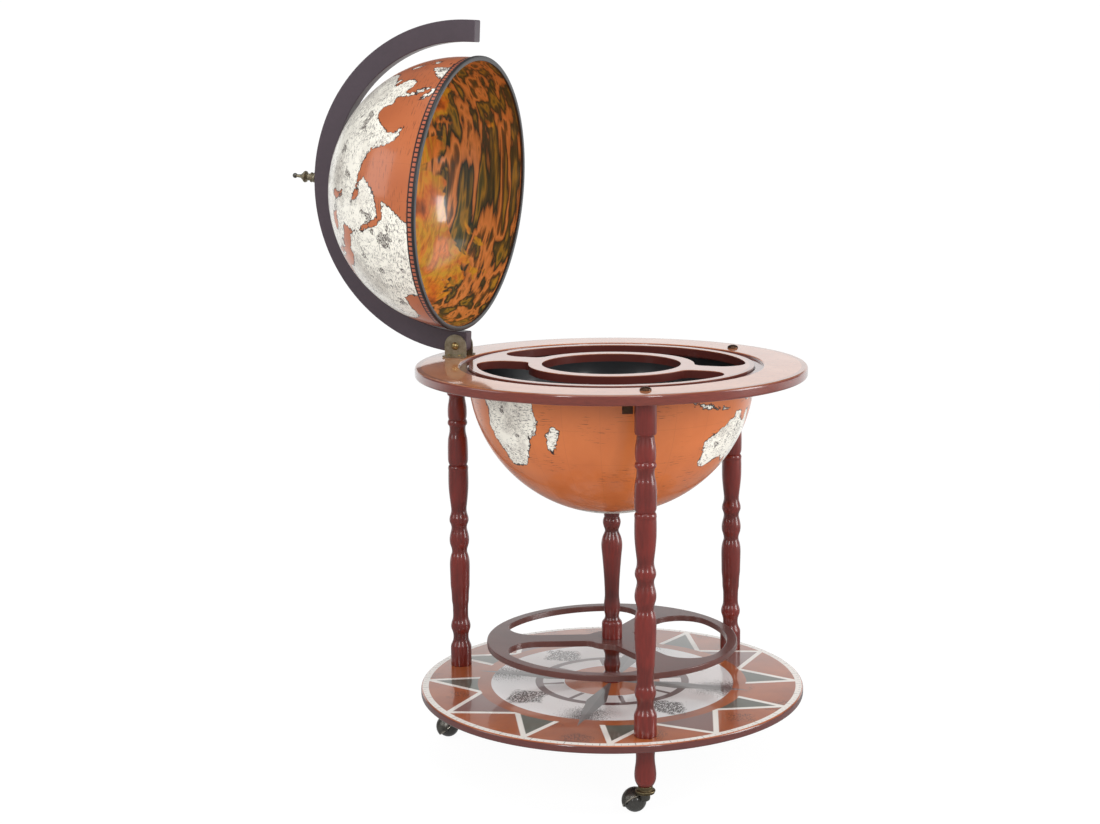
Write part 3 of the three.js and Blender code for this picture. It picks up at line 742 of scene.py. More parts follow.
class Bench:
    """The modelling steps that the pieces share, all made with mesh operators."""

    @staticmethod
    def clear() -> None:
        """Deselects everything."""
        if bpy.context.object and bpy.context.object.mode != "OBJECT":
            bpy.ops.object.mode_set(mode="OBJECT")
        bpy.ops.object.select_all(action="DESELECT")
        bpy.context.view_layer.objects.active = None

    @staticmethod
    def pick(piece: Piece) -> None:
        """Selects one piece alone."""
        Bench.clear()
        piece.select_set(True)
        bpy.context.view_layer.objects.active = piece

    @staticmethod
    def thread(points: Sequence[Point3]) -> Piece:
        """Draws a chain of edges, left in edit mode with all of it selected.

        Args:
            points: Places in millimetres.

        Returns:
            The new object.
        """
        Bench.clear()
        start = Vector(points[0]) * MM
        bpy.ops.mesh.primitive_plane_add(size=MM, location=start)
        piece = bpy.context.object
        bpy.ops.object.mode_set(mode="EDIT")
        bpy.ops.mesh.select_all(action="SELECT")
        bpy.ops.mesh.merge(type="CENTER")
        for before, after in zip(points, points[1:]):
            step = (Vector(after) - Vector(before)) * MM
            bpy.ops.mesh.extrude_vertices_move(TRANSFORM_OT_translate={"value": step})
        bpy.ops.mesh.select_all(action="SELECT")
        return piece

    @staticmethod
    def close_up(piece: Piece, name: str, outward: bool = True) -> Piece:
        """Merges doubles, turns the faces outwards and bakes the object's place into its mesh."""
        bpy.ops.mesh.select_all(action="SELECT")
        bpy.ops.mesh.remove_doubles(threshold=MM * 0.002)
        if outward:
            bpy.ops.mesh.normals_make_consistent(inside=False)
        bpy.ops.object.mode_set(mode="OBJECT")
        bpy.ops.object.transform_apply(location=True, rotation=True, scale=True)
        piece.name = name
        piece.data.name = name
        return piece

    @staticmethod
    def turn(name: str, side: Outline, steps: int = 48, closed: bool = False) -> Piece:
        """Spins a side outline about Z.

        Args:
            name: The piece's name.
            side: Radius and height pairs in millimetres.
            steps: Steps of the full turn.
            closed: Whether the outline returns to its start.

        Returns:
            The turned piece.
        """
        chain = [(radius, 0.0, height) for radius, height in side]
        if closed:
            chain.append(chain[0])
        piece = Bench.thread(chain)
        bpy.ops.mesh.spin(steps=steps, angle=2 * math.pi, center=(0, 0, 0), axis=(0, 0, 1))
        return Bench.close_up(piece, name)

    @staticmethod
    def slab(name: str, outline: Outline, bottom: float, thickness: float,
             side: Side = Side.FLAT) -> Piece:
        """Fills a closed outline and extrudes it.

        Args:
            name: The piece's name.
            outline: Points in millimetres, in XY for a flat slab or XZ for a standing one.
            bottom: Height of a flat slab, or the low Y of a standing one.
            thickness: Its thickness.
            side: Flat or standing.

        Returns:
            The slab.
        """
        if side is Side.FLAT:
            chain = [(x, y, bottom) for x, y in outline]
            step = Vector((0, 0, thickness)) * MM
        else:
            chain = [(x, bottom, z) for x, z in outline]
            step = Vector((0, thickness, 0)) * MM
        piece = Bench.thread(chain)
        bpy.ops.mesh.edge_face_add()
        bpy.ops.mesh.select_all(action="SELECT")
        bpy.ops.mesh.extrude_region_move(TRANSFORM_OT_translate={"value": step})
        return Bench.close_up(piece, name)

    @staticmethod
    def apply(piece: Piece, kind: str, **settings: object) -> None:
        """Adds a modifier and applies it."""
        Bench.pick(piece)
        modifier = piece.modifiers.new(kind.lower(), kind)
        for key, value in settings.items():
            setattr(modifier, key, value)
        bpy.ops.object.modifier_apply(modifier=modifier.name)

    @staticmethod
    def cut(piece: Piece, tool: Piece, operation: str = "DIFFERENCE") -> None:
        """Cuts or joins a piece with another, which is used up."""
        Bench.apply(piece, "BOOLEAN", object=tool, operation=operation, solver="EXACT")
        bpy.data.objects.remove(tool)

    @staticmethod
    def soften(piece: Piece, width: float, segments: int = 3) -> None:
        """Bevels the sharp edges of a board and keeps its large faces flat."""
        Bench.apply(
            piece, "BEVEL", width=width * MM, segments=segments, limit_method="ANGLE",
            angle_limit=math.radians(SHARP), miter_outer="MITER_ARC",
        )
        Bench.flatten(piece)

    @staticmethod
    def smooth(piece: Piece, angle: float = 32) -> None:
        """Shades smooth up to an angle."""
        Bench.pick(piece)
        bpy.ops.object.shade_smooth_by_angle(angle=math.radians(angle))

    @staticmethod
    def flatten(piece: Piece) -> None:
        """Shades smooth and keeps the large faces flat up to their rounded edges."""
        Bench.smooth(piece)
        Bench.apply(piece, "WEIGHTED_NORMAL", keep_sharp=True, weight=100)

    @staticmethod
    def drill(piece: Piece, radius: float, low: float, high: float, place: Matrix) -> None:
        """Drills a round hole along the Z axis of a place.

        Args:
            piece: The piece.
            radius: The hole's radius.
            low: Where the hole starts along the axis.
            high: Where it ends.
            place: The place of the axis.
        """
        tool = Bench.turn("drill", [(0, low), (radius, low), (radius, high), (0, high)], 32)
        Bench.move(tool, place)
        Bench.cut(piece, tool)

    @staticmethod
    def move(piece: Piece, matrix: Matrix) -> None:
        """Moves a piece's mesh and leaves its object at the origin."""
        Bench.pick(piece)
        piece.matrix_world = matrix
        bpy.context.view_layer.update()
        bpy.ops.object.transform_apply(location=True, rotation=True, scale=True)

    @staticmethod
    def copy(piece: Piece, name: str, matrix: Matrix) -> Piece:
        """Copies a piece with a mesh of its own and moves the copy."""
        twin = piece.copy()
        twin.data = piece.data.copy()
        twin.name = name
        twin.data.name = name
        bpy.context.collection.objects.link(twin)
        Bench.move(twin, matrix)
        return twin

    @staticmethod
    def unite(name: str, *pieces: Piece) -> Piece:
        """Joins pieces into one object."""
        Bench.clear()
        for piece in pieces:
            piece.select_set(True)
        bpy.context.view_layer.objects.active = pieces[0]
        bpy.ops.object.join()
        pieces[0].name = name
        pieces[0].data.name = name
        return pieces[0]

    @staticmethod
    def store(piece: Piece, name: str, values: np.ndarray) -> None:
        """Stores a number or a vector for each vertex."""
        kind = "FLOAT_VECTOR" if values.ndim == 2 else "FLOAT"
        made = piece.data.attributes.new(name, kind, "POINT")
        made.data.foreach_set("vector" if values.ndim == 2 else "value", values.astype(np.float32).ravel())

    @staticmethod
    def points(piece: Piece) -> np.ndarray:
        """Every vertex of a piece, one row each."""
        flat = np.empty(len(piece.data.vertices) * 3, dtype=np.float32)
        piece.data.vertices.foreach_get("co", flat)
        return flat.reshape(-1, 3).astype(np.float64)

    @staticmethod
    def polish(piece: Piece, *materials: Material, angle: float = 32,
               choose: Callable[[Vector], int] | None = None) -> None:
        """Shades a round piece smooth up to an angle in degrees and gives it its materials."""
        Bench.smooth(piece, angle)
        Bench.dress(piece, *materials, choose=choose)

    @staticmethod
    def dress(piece: Piece, *materials: Material,
              choose: Callable[[Vector], int] | None = None) -> None:
        """Gives a piece its materials.

        Args:
            piece: The piece.
            materials: One or more materials.
            choose: Picks the material of a face from its centre.
        """
        piece.data.materials.clear()
        for material in materials:
            piece.data.materials.append(material)
        if choose:
            for polygon in piece.data.polygons:
                polygon.material_index = choose(polygon.center)


def arc(centre: Point2, radius: float, start: float, end: float, steps: int) -> Outline:
    """Points of a circular arc.

    Args:
        centre: The centre.
        radius: The radius.
        start: First angle in degrees.
        end: Last angle in degrees.
        steps: Number of steps.

    Returns:
        The points, both ends included.
    """
    angles = [math.radians(start + (end - start) * step / steps) for step in range(steps + 1)]
    return [(centre[0] + radius * math.cos(turn), centre[1] + radius * math.sin(turn)) for turn in angles]


def flowing(rows: Sequence[Point2], radius: float, top: float, length: float, steps: int = 4) -> Outline:
    """Side of a turned piece as a smooth curve through its rows.

    Args:
        rows: Share of the length from the top, and share of the radius. A repeated row is a corner.
        radius: The full radius.
        top: Height of the top.
        length: The full length.
        steps: Steps between two rows.

    Returns:
        Radius and height pairs from the top down.
    """
    def slope(index: int, ahead: bool) -> float:
        """Slope of the curve as it leaves a row, or as it reaches it."""
        low = index if ahead and index and rows[index - 1] == rows[index] else max(index - 1, 0)
        high = min(index + 1, len(rows) - 1)
        if not ahead and high > index and rows[high] == rows[index]:
            high = index
        return (rows[high][1] - rows[low][1]) / max(rows[high][0] - rows[low][0], 1e-6)

    side = [(rows[0][1] * radius, top - rows[0][0] * length)]
    for index, ((down, wide), (after, width)) in enumerate(zip(rows, rows[1:])):
        span = after - down
        if span < 1e-6:
            continue
        first, last = slope(index, True) * span, slope(index + 1, False) * span
        count = 1 if abs(first) + abs(last) + abs(width - wide) < 0.004 else steps
        for step in range(1, count + 1):
            t = step / count
            reach = ((2 * t - 3) * t * t + 1) * wide + ((t - 2) * t + 1) * t * first
            reach += (3 - 2 * t) * t * t * width + (t - 1) * t * t * last
            side.append((radius * reach, top - length * (down + span * t)))
    return side


def shift(x: float, y: float, z: float) -> Matrix:
    """A shift in millimetres."""
    return Matrix.Translation(Vector((x, y, z)) * MM)


def spot(radius: float, angle: float, height: float = 0.0) -> Matrix:
    """A shift to a place given by radius and angle."""
    turn = math.radians(angle)
    return shift(radius * math.cos(turn), radius * math.sin(turn), height)


def sideways(x: float, z: float) -> Matrix:
    """A shift in the XZ plane that lays a turned piece along Y."""
    return shift(x, 0, z) @ Matrix.Rotation(math.pi / 2, 4, "X")


def rounded(radius: float, bottom: float, top: float, edge: float) -> Outline:
    """Side of a round board with both corners rounded, from the bottom up."""
    side = arc((radius - edge, bottom + edge), edge, -90, 0, 6)
    return side + arc((radius - edge, top - edge), edge, 0, 90, 6)


def opening(hub: float, rim: float, half: float, lobe: float, corner: float, start: float,
            end: float) -> Outline:
    """Outline of an opening between two spokes, with rounded lobes and corners.

    Args:
        hub: Radius of the hub.
        rim: Inner radius of the rim.
        half: Half the spoke's width.
        lobe: Radius of the corners at the rim.
        corner: Radius of the corners at the hub.
        start: Angle of the first spoke.
        end: Angle of the second spoke.

    Returns:
        The closed outline.
    """
    span = end - start
    lobe_side, corner_side = half + lobe, half + corner
    lobe_run = math.sqrt((rim - lobe) ** 2 - lobe_side ** 2)
    corner_run = math.sqrt((hub + corner) ** 2 - corner_side ** 2)
    lobe_turn = math.degrees(math.atan2(lobe_side, lobe_run))
    corner_turn = math.degrees(math.atan2(corner_side, corner_run))
    first = arc((corner_run, corner_side), corner, corner_turn + 180, 270, 8)
    first += arc((lobe_run, lobe_side), lobe, -90, lobe_turn, 12)
    cosine, sine = math.cos(math.radians(span)), math.sin(math.radians(span))
    second = [(x * cosine + y * sine, x * sine - y * cosine) for x, y in first]
    rim_arc = arc((0, 0), rim, lobe_turn, span - lobe_turn, 32)[1:-1]
    hub_arc = arc((0, 0), hub, span - corner_turn, corner_turn, 24)[1:-1]
    cosine, sine = math.cos(math.radians(start)), math.sin(math.radians(start))
    outline = first + rim_arc + second[::-1] + hub_arc
    return [(x * cosine - y * sine, x * sine + y * cosine) for x, y in outline]


def settle(piece: Piece, body: Body, slot: Slot, *nodes: str, index: int = 0) -> None:
    """Rides a piece on its body, in place of the nodes that it stands for.

    Args:
        piece: The piece.
        body: The body.
        slot: The record's material slot; not used.
        nodes: The nodes that it replaces.
        index: The caster's number, for a body that each caster has.
    """
    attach(piece, f"{body.value}_{index}" if index else body.value)
    if nodes:
        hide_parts(*nodes)
    LOG.info("%s: %d faces", piece.name, len(piece.data.polygons))


@dataclass(frozen=True)
class Copies:
    """A dressed pattern, with the name, slot, replaced node and place of each of its copies."""

    pattern: Piece
    name: str
    slot: Slot
    node: str
    places: list[Matrix]


def repeat(*rows: Copies) -> None:
    """Settles the first copy of each pattern on the frame, then the next, and removes the patterns."""
    for index in range(len(rows[0].places)):
        for row in rows:
            piece = Bench.copy(row.pattern, f"{row.name}_{index + 1}", row.places[index])
            settle(piece, Body.FRAME, row.slot, f"{row.node}_{index + 1}")
    for row in rows:
        bpy.data.objects.remove(row.pattern)


# World outlines in degrees east and north

LANDS: list[list[Point2]] = [
    [(-6, 36), (-2, 35), (3, 37), (10, 37), (11, 34), (15, 32), (20, 31), (23, 33), (29, 31), (32, 31),
     (34, 28), (36, 24), (37, 20), (40, 15), (43, 12), (47, 11), (51, 12), (49, 7), (45, 2), (41, -2),
     (39, -7), (41, -12), (40, -16), (35, -20), (35, -24), (33, -26), (32, -29), (28, -33), (22, -34),
     (18, -34), (17, -29), (14, -22), (12, -17), (14, -11), (12, -6), (9, -1), (9, 4), (5, 6), (1, 6),
     (-5, 5), (-8, 4), (-13, 8), (-17, 14), (-17, 21), (-13, 27), (-10, 30)],
    [(49, -12), (50, -16), (48, -22), (46, -25), (44, -24), (44, -17), (47, -15)],
    [(-9, 37), (-9, 43), (-2, 43), (-1, 46), (-4, 48), (0, 49), (4, 52), (8, 54), (8, 57), (11, 57),
     (10, 54), (14, 54), (20, 55), (24, 59), (30, 60), (22, 60), (25, 65), (22, 66), (18, 62), (17, 58),
     (14, 55), (11, 59), (6, 58), (5, 62), (12, 66), (18, 70), (28, 71), (40, 67), (35, 64), (38, 64),
     (44, 66), (46, 68), (55, 68), (60, 69), (68, 68), (68, 72), (72, 73), (80, 73), (88, 75),
     (104, 78), (113, 74), (125, 73), (135, 72), (145, 73), (160, 70), (170, 70), (180, 69), (190, 66),
     (180, 65), (178, 62), (170, 60), (163, 58), (162, 55), (157, 51), (156, 57), (162, 61), (155, 59),
     (143, 59), (135, 55), (141, 53), (140, 48), (135, 43), (130, 42), (128, 39), (129, 36), (126, 34),
     (126, 37), (125, 40), (121, 40), (118, 38), (122, 37), (119, 35), (122, 31), (121, 27), (117, 23),
     (110, 21), (106, 20), (109, 13), (107, 10), (105, 9), (103, 11), (101, 13), (99, 10), (102, 6),
     (104, 1), (101, 3), (98, 8), (98, 15), (94, 16), (92, 21), (88, 22), (82, 17), (80, 13), (78, 8),
     (76, 10), (73, 16), (72, 21), (67, 24), (62, 25), (57, 26), (51, 28), (48, 30), (50, 26), (54, 24),
     (56, 26), (60, 22), (55, 17), (45, 13), (43, 14), (40, 20), (35, 28), (35, 32), (36, 36), (30, 36),
     (27, 37), (26, 40), (23, 38), (22, 37), (20, 40), (19, 42), (13, 46), (12, 44), (18, 40), (16, 38),
     (12, 42), (9, 44), (3, 43), (3, 41), (0, 39), (-2, 37), (-6, 36)],
    [(-5, 50), (1, 51), (0, 53), (-2, 56), (-4, 58), (-6, 58), (-5, 55), (-3, 54), (-5, 52)],
    [(-10, 52), (-6, 52), (-6, 55), (-9, 54)],
    [(-24, 65), (-22, 64), (-14, 64), (-15, 66), (-22, 66)],
    [(130, 31), (132, 33), (136, 34), (140, 35), (142, 39), (141, 41), (139, 38), (136, 37), (132, 35),
     (130, 33)],
    [(140, 42), (145, 43), (142, 45)],
    [(142, 46), (144, 49), (143, 54), (142, 50)],
    [(120, 22), (122, 25), (121, 25)],
    [(109, 18), (111, 20), (109, 20)],
    [(80, 6), (82, 7), (80, 10)],
    [(120, 14), (124, 13), (122, 16), (122, 18), (120, 18)],
    [(122, 7), (126, 6), (126, 9), (124, 9)],
    [(122, 10), (125, 11), (124, 12)],
    [(109, 1), (110, -3), (116, -4), (118, 1), (119, 5), (117, 7), (113, 4)],
    [(95, 5), (98, 3.5), (103, 0), (106, -4), (105, -6), (101, -2), (98, 1)],
    [(105, -6.5), (108, -6.5), (114, -7.5), (118, -8.3), (126, -8.5), (124, -10), (114, -8.7),
     (106, -7.6)],
    [(120, 1), (125, 1.5), (121, 0), (122, -4), (120, -5), (119, -2)],
    [(131, -1), (135, -3), (141, -3), (147, -6), (150, -10), (144, -8), (138, -8), (133, -4)],
    [(113, -22), (114, -26), (115, -34), (119, -35), (124, -33), (131, -31), (135, -35), (138, -33),
     (140, -38), (146, -39), (150, -37), (153, -31), (153, -26), (149, -21), (146, -18), (143, -11),
     (141, -13), (140, -17), (136, -15), (136, -12), (131, -12), (128, -15), (122, -17), (118, -20)],
    [(145, -41), (148, -41), (147, -43.5)],
    [(173, -35), (178, -38), (175, -41), (174, -39)],
    [(173, -41), (174, -42), (170, -46), (167, -46), (171, -42)],
    [(-168, 66), (-162, 70), (-156, 71), (-141, 70), (-128, 70), (-115, 68), (-108, 68), (-95, 68),
     (-94, 72), (-85, 70), (-81, 68), (-86, 66), (-94, 61), (-93, 58), (-85, 55), (-82, 52), (-79, 51),
     (-79, 55), (-77, 58), (-77, 62), (-72, 61), (-65, 59), (-60, 55), (-56, 52), (-60, 50), (-66, 50),
     (-65, 48), (-61, 46), (-66, 44), (-70, 43), (-70, 41), (-75, 39), (-76, 35), (-81, 31), (-80, 26),
     (-82, 27), (-84, 30), (-90, 29), (-97, 28), (-98, 22), (-95, 18), (-91, 19), (-90, 21), (-87, 21),
     (-88, 16), (-83, 15), (-83, 10), (-79, 9), (-77, 8), (-80, 7), (-85, 10), (-91, 14), (-98, 16),
     (-105, 20), (-109, 26), (-114, 31), (-110, 23), (-115, 29), (-117, 33), (-121, 35), (-124, 40),
     (-124, 47), (-130, 54), (-137, 59), (-148, 61), (-154, 58), (-165, 54), (-158, 58), (-165, 61),
     (-162, 64)],
    [(-77, 8), (-72, 12), (-62, 11), (-57, 6), (-51, 4), (-50, 0), (-44, -3), (-35, -6), (-35, -9),
     (-39, -14), (-40, -21), (-45, -24), (-48, -28), (-54, -34), (-58, -38), (-62, -40), (-65, -45),
     (-68, -51), (-68, -55), (-74, -52), (-74, -44), (-72, -36), (-70, -25), (-70, -18), (-76, -14),
     (-81, -6), (-80, -1), (-77, 4)],
    [(-45, 60), (-41, 64), (-25, 70), (-18, 76), (-20, 82), (-40, 83), (-60, 82), (-70, 77), (-55, 70),
     (-52, 65)],
    [(-65, 62), (-62, 67), (-75, 73), (-88, 73), (-78, 67), (-72, 64)],
    [(-80, 76), (-88, 80), (-70, 83), (-75, 78)],
    [(-117, 70), (-105, 69), (-105, 73), (-115, 73)],
    [(-59, 48), (-53, 47), (-56, 51)],
    [(-85, 22), (-80, 23), (-74, 20), (-78, 20)],
    [(-74, 18), (-68, 18.5), (-70, 20), (-73, 20)],
    [(52, 71), (56, 73), (66, 77), (60, 76), (54, 73)],
    [(12, 79), (24, 78), (22, 80), (14, 80)],
    [(-180, -78), (-150, -77), (-120, -74), (-100, -73), (-75, -72), (-62, -64), (-57, -63), (-62, -72),
     (-60, -77), (-35, -78), (-20, -73), (0, -70), (20, -70), (50, -67), (80, -67), (110, -66),
     (140, -67), (165, -72), (165, -78), (180, -78), (180, -91), (-180, -91)],
]
LAKES: list[list[Point2]] = [
    [(28, 42), (31, 46), (38, 47), (41, 42), (35, 42)],
    [(47, 43), (50, 46), (53, 45), (51, 40), (53, 37), (50, 37), (49, 41)],
    [(-88, 47), (-84, 48), (-84, 46), (-87, 42), (-88, 44)],
]


class WorldMap:
    """Distances from the coasts, worked out for the vertices of a globe."""

    east_of_front: float = 51.7

    @staticmethod
    def _ring(lon: np.ndarray, lat: np.ndarray, ring: list[Point2]) -> tuple[np.ndarray, np.ndarray]:
        """Distance in degrees to one outline, and whether each point lies inside it."""
        nearest = np.full(lon.shape, 1e9)
        inside = np.zeros(lon.shape, dtype=bool)
        shrink = np.maximum(np.cos(np.radians(lat)), 0.05)
        for (x0, y0), (x1, y1) in zip(ring, ring[1:] + ring[:1]):
            ax, ay = (lon - x0) * shrink, lat - y0
            bx, by = (x1 - x0) * shrink, np.full(lat.shape, y1 - y0)
            along = np.clip((ax * bx + ay * by) / (bx * bx + by * by + 1e-12), 0, 1)
            nearest = np.minimum(nearest, np.hypot(ax - along * bx, ay - along * by))
            if y0 != y1:
                crosses = (lat > min(y0, y1)) & (lat <= max(y0, y1))
                inside ^= crosses & (lon < x0 + (lat - y0) * (x1 - x0) / (y1 - y0))
        return nearest, inside

    @classmethod
    def distance(cls, directions: np.ndarray) -> np.ndarray:
        """Signed distance from the coast in degrees, positive on land.

        Args:
            directions: Places on the globe, one row each.

        Returns:
            One distance for each row.
        """
        x, y, z = directions.T
        lat = np.degrees(np.arctan2(z, np.hypot(x, y)))
        lon = (np.degrees(np.arctan2(x, -y)) + cls.east_of_front + 180) % 360 - 180
        nearest = np.full(lon.shape, 1e9)
        land = np.zeros(lon.shape, dtype=bool)
        for rings, sign in ((LANDS, True), (LAKES, False)):
            for ring in rings:
                turns = (0, 360) if max(point[0] for point in ring) > 180 else (0,)
                for turn in turns:
                    reach, inside = cls._ring(lon + turn, lat, ring)
                    nearest = np.minimum(nearest, reach)
                    land = land | inside if sign else land & ~inside
        return np.where(land, nearest, -nearest)

    @classmethod
    def stamp(cls, piece: Piece, centre: Vector) -> None:
        """Stores the map distance and the place on the globe on a piece that still stands upright."""
        away = Bench.points(piece) - np.array(centre)
        Bench.store(piece, "land", cls.distance(away))
        Bench.store(piece, "globe", away)


# Sub-assemblies


class Palette:
    """Every finish of the bar, made once."""

    def __init__(self) -> None:
        """Builds the plain finishes."""
        # the mahogany darkens its grooves with painted shade and glaze
        self.mahogany: Material = Lacquer(
            "mahogany_lacquer", (142, 40, 29), (50, 15, 11), 0.7, 0.34, haze=0.1, glaze=True).build()
        self.ring_wood: Material = Lacquer(
            "ring_lacquer", (108, 58, 50), (76, 40, 35), 0.8, 0.4, (8.0, 60.0, 40.0), 0.2).build()
        self.dark_wood: Material = Lacquer(
            "arc_lacquer", (78, 63, 73), (60, 49, 57), 0.5, 0.4, (30.0, 30.0, 30.0), 0.3).build()
        self.brass: Material = Brass("antique_brass", (196, 186, 160), (116, 106, 86)).build()
        self.bright_brass: Material = Brass("rubbed_brass", (196, 172, 118), (110, 92, 58), 0.24).build()
        self.caster_brass: Material = Brass("caster_brass", (158, 142, 108), (84, 74, 54)).build()
        self.pewter: Material = Brass("dark_pewter", (138, 135, 128), (78, 75, 70), 0.26).build()
        self.bronze: Material = Brass("dark_bronze", (112, 84, 66), (58, 40, 32), 0.26).build()
        # lighter metal that paints the highlight along the caster hood's rolled edge
        self.painted_highlight_edge: Material = Brass("painted_highlight_edge", (214, 208, 194), (160, 152, 136), 0.2).build()
        self.black: Material = Moulding("wheel_black", (66, 64, 60), 0.24, 0.9).build()
        self.trim: Material = Moulding("trim_black", (40, 38, 40), 0.34, 0.4).build()
        self.bowl_lining: Material = Moulding("bowl_lining", (34, 38, 42), 0.35, 0.3).build()


@dataclass
class Table:
    """The table ring and the insert plate with its three openings."""

    radius: float = BOARD_RADIUS
    thickness: float = 15.0
    top: float = TABLE_TOP
    edge: float = 3.2
    shoulder: float = 2.4
    inner: float = 225.0
    ledge: float = 206.0
    ledge_top: float = 594.6
    groove: float = 3.6
    insert_radius: float = 211.0
    insert_thickness: float = 12.0
    hole: float = 103.0
    hub: float = 123.0
    rim: float = 199.0
    bridge: float = 22.0
    lobe: float = 35.0
    corner: float = 17.0

    def build(self) -> None:
        """Makes both boards."""
        self._ring()
        self._insert()

    def _ring(self) -> None:
        """Turns the table ring."""
        bottom = self.top - self.thickness
        shoulder = self.shoulder
        side = rounded(self.radius, bottom, self.top, self.edge)
        side += arc((self.inner + shoulder, self.top - shoulder), shoulder, 90, 180, 6)
        floor = self.top - self.groove
        seat = self.insert_radius + 0.8
        side += arc((self.inner - shoulder, floor + 1.6), shoulder, 0, -42, 4)
        side += [(self.insert_radius + 2.2, floor), (seat, floor - 1), (seat, self.ledge_top),
                 (self.ledge, self.ledge_top), (self.ledge, bottom)]
        piece = Bench.turn("table_ring_board", side, 144, closed=True)
        Bench.flatten(piece)
        Bench.dress(piece, TablePrint("table_print", self.top, self.radius).build())
        settle(piece, Body.FRAME, Slot.TABLE_PRINT, "table_ring")

    def _insert(self) -> None:
        """Turns the insert plate and cuts its two long openings."""
        bottom = self.top - self.insert_thickness
        side = [(self.hole, bottom), (self.insert_radius, bottom), (self.insert_radius, self.top),
                (self.hole, self.top)]
        piece = Bench.turn("insert_board", side, 120, closed=True)
        for start in (0, 180):
            outline = opening(self.hub, self.rim, self.bridge, self.lobe, self.corner, start, start + 180)
            tool = Bench.slab("kidney", outline, bottom - SPARE, self.insert_thickness + 2 * SPARE)
            Bench.cut(piece, tool)
        Bench.soften(piece, 1.1)
        finish = TablePrint("insert_print", self.top, self.insert_radius + 3, (180, 122, 104), (92, 38, 32))
        Bench.dress(piece, finish.build())
        settle(piece, Body.FRAME, Slot.INSERT_PRINT, "insert_plate")


@dataclass
class GlobeBowl:
    """The lower globe with its lip and the clips that hold it."""

    palette: Palette
    radius: float = 212.0
    wall: float = 3.0
    centre: float = 596.4
    lip_top: float = 591.6
    lip: float = 6.5
    lip_thickness: float = 3.0
    clip_width: float = 15.0
    clip_thickness: float = 2.5
    clip_plate: float = 25.0
    clip_tab: float = 18.0
    clip_angles: tuple[float, ...] = (174.5, -65.5, 54.5)

    def build(self) -> None:
        """Makes the bowl and its clips."""
        self._bowl()
        self._clips()

    def _bowl(self) -> None:
        """Turns the bowl, stamps the map on it and lines it."""
        lip_bottom = self.lip_top - self.lip_thickness
        inside = self.radius - self.wall
        outer_end = math.degrees(math.asin((lip_bottom - self.centre) / self.radius))
        inner_end = math.degrees(math.asin((self.lip_top - self.centre) / inside))
        side = arc((0, self.centre), self.radius, -90, outer_end, 60)
        side[0] = (0, self.centre - self.radius)
        side += [(self.radius + self.lip - 0.4, lip_bottom), (self.radius + self.lip, lip_bottom + 0.5),
                 (self.radius + self.lip, self.lip_top)]
        side += arc((0, self.centre), inside, inner_end, -90, 30)
        side[-1] = (0, self.centre - inside)
        piece = Bench.turn("globe_bowl_shell", side, 192)
        WorldMap.stamp(piece, Vector((0, 0, self.centre)) * MM)
        middle = self.radius - self.wall / 2
        heart = Vector((0, 0, self.centre * MM))
        print_finish = MapPrint("bowl_print", (218, 122, 62), (196, 102, 48)).build()
        Bench.polish(piece, print_finish, self.palette.bowl_lining,
                     choose=lambda spot: 0 if (spot - heart).length > middle * MM else 1)
        settle(piece, Body.FRAME, Slot.BOWL_PRINT, "globe_bowl")

    def _clips(self) -> None:
        """Cuts one stepped clip and copies it."""
        top = self.lip_top
        tongue = top - self.lip_thickness - CLEARANCE
        wall = self.radius + self.lip + 1.5
        tip = self.radius + 1.5
        thick = self.clip_thickness
        far = wall + self.clip_plate
        outline = [(wall, top), (far, top), (far, top - self.clip_tab), (far - thick, top - self.clip_tab),
                   (far - thick, top - thick), (wall + thick, top - thick), (wall + thick, tongue - thick),
                   (tip, tongue - thick), (tip, tongue), (wall, tongue)]
        clip = Bench.slab("clip_pattern", outline, -self.clip_width / 2, self.clip_width, Side.STANDING)
        Bench.soften(clip, 0.5, segments=2)
        Bench.dress(clip, self.palette.bronze)
        head = [(0, 0.9), (1.0, 1.0), (1.2, 1.7), (2.2, 1.5), (3.0, 0.9), (3.4, 0), (0, 0)]
        screw = Bench.turn("screw_pattern", head, 24)
        Bench.polish(screw, self.palette.bright_brass, angle=50)
        flip = Matrix.Rotation(math.pi, 4, "X")
        low = top - thick - CLEARANCE
        turns = [Matrix.Rotation(math.radians(angle), 4, "Z") for angle in self.clip_angles]
        places = [spot(wall + self.clip_plate / 2, angle, low) @ flip for angle in self.clip_angles]
        repeat(Copies(clip, "clip_strap", Slot.BRASS, "bowl_clip", turns),
               Copies(screw, "clip_screw_head", Slot.BRASS, "clip_screw", places))


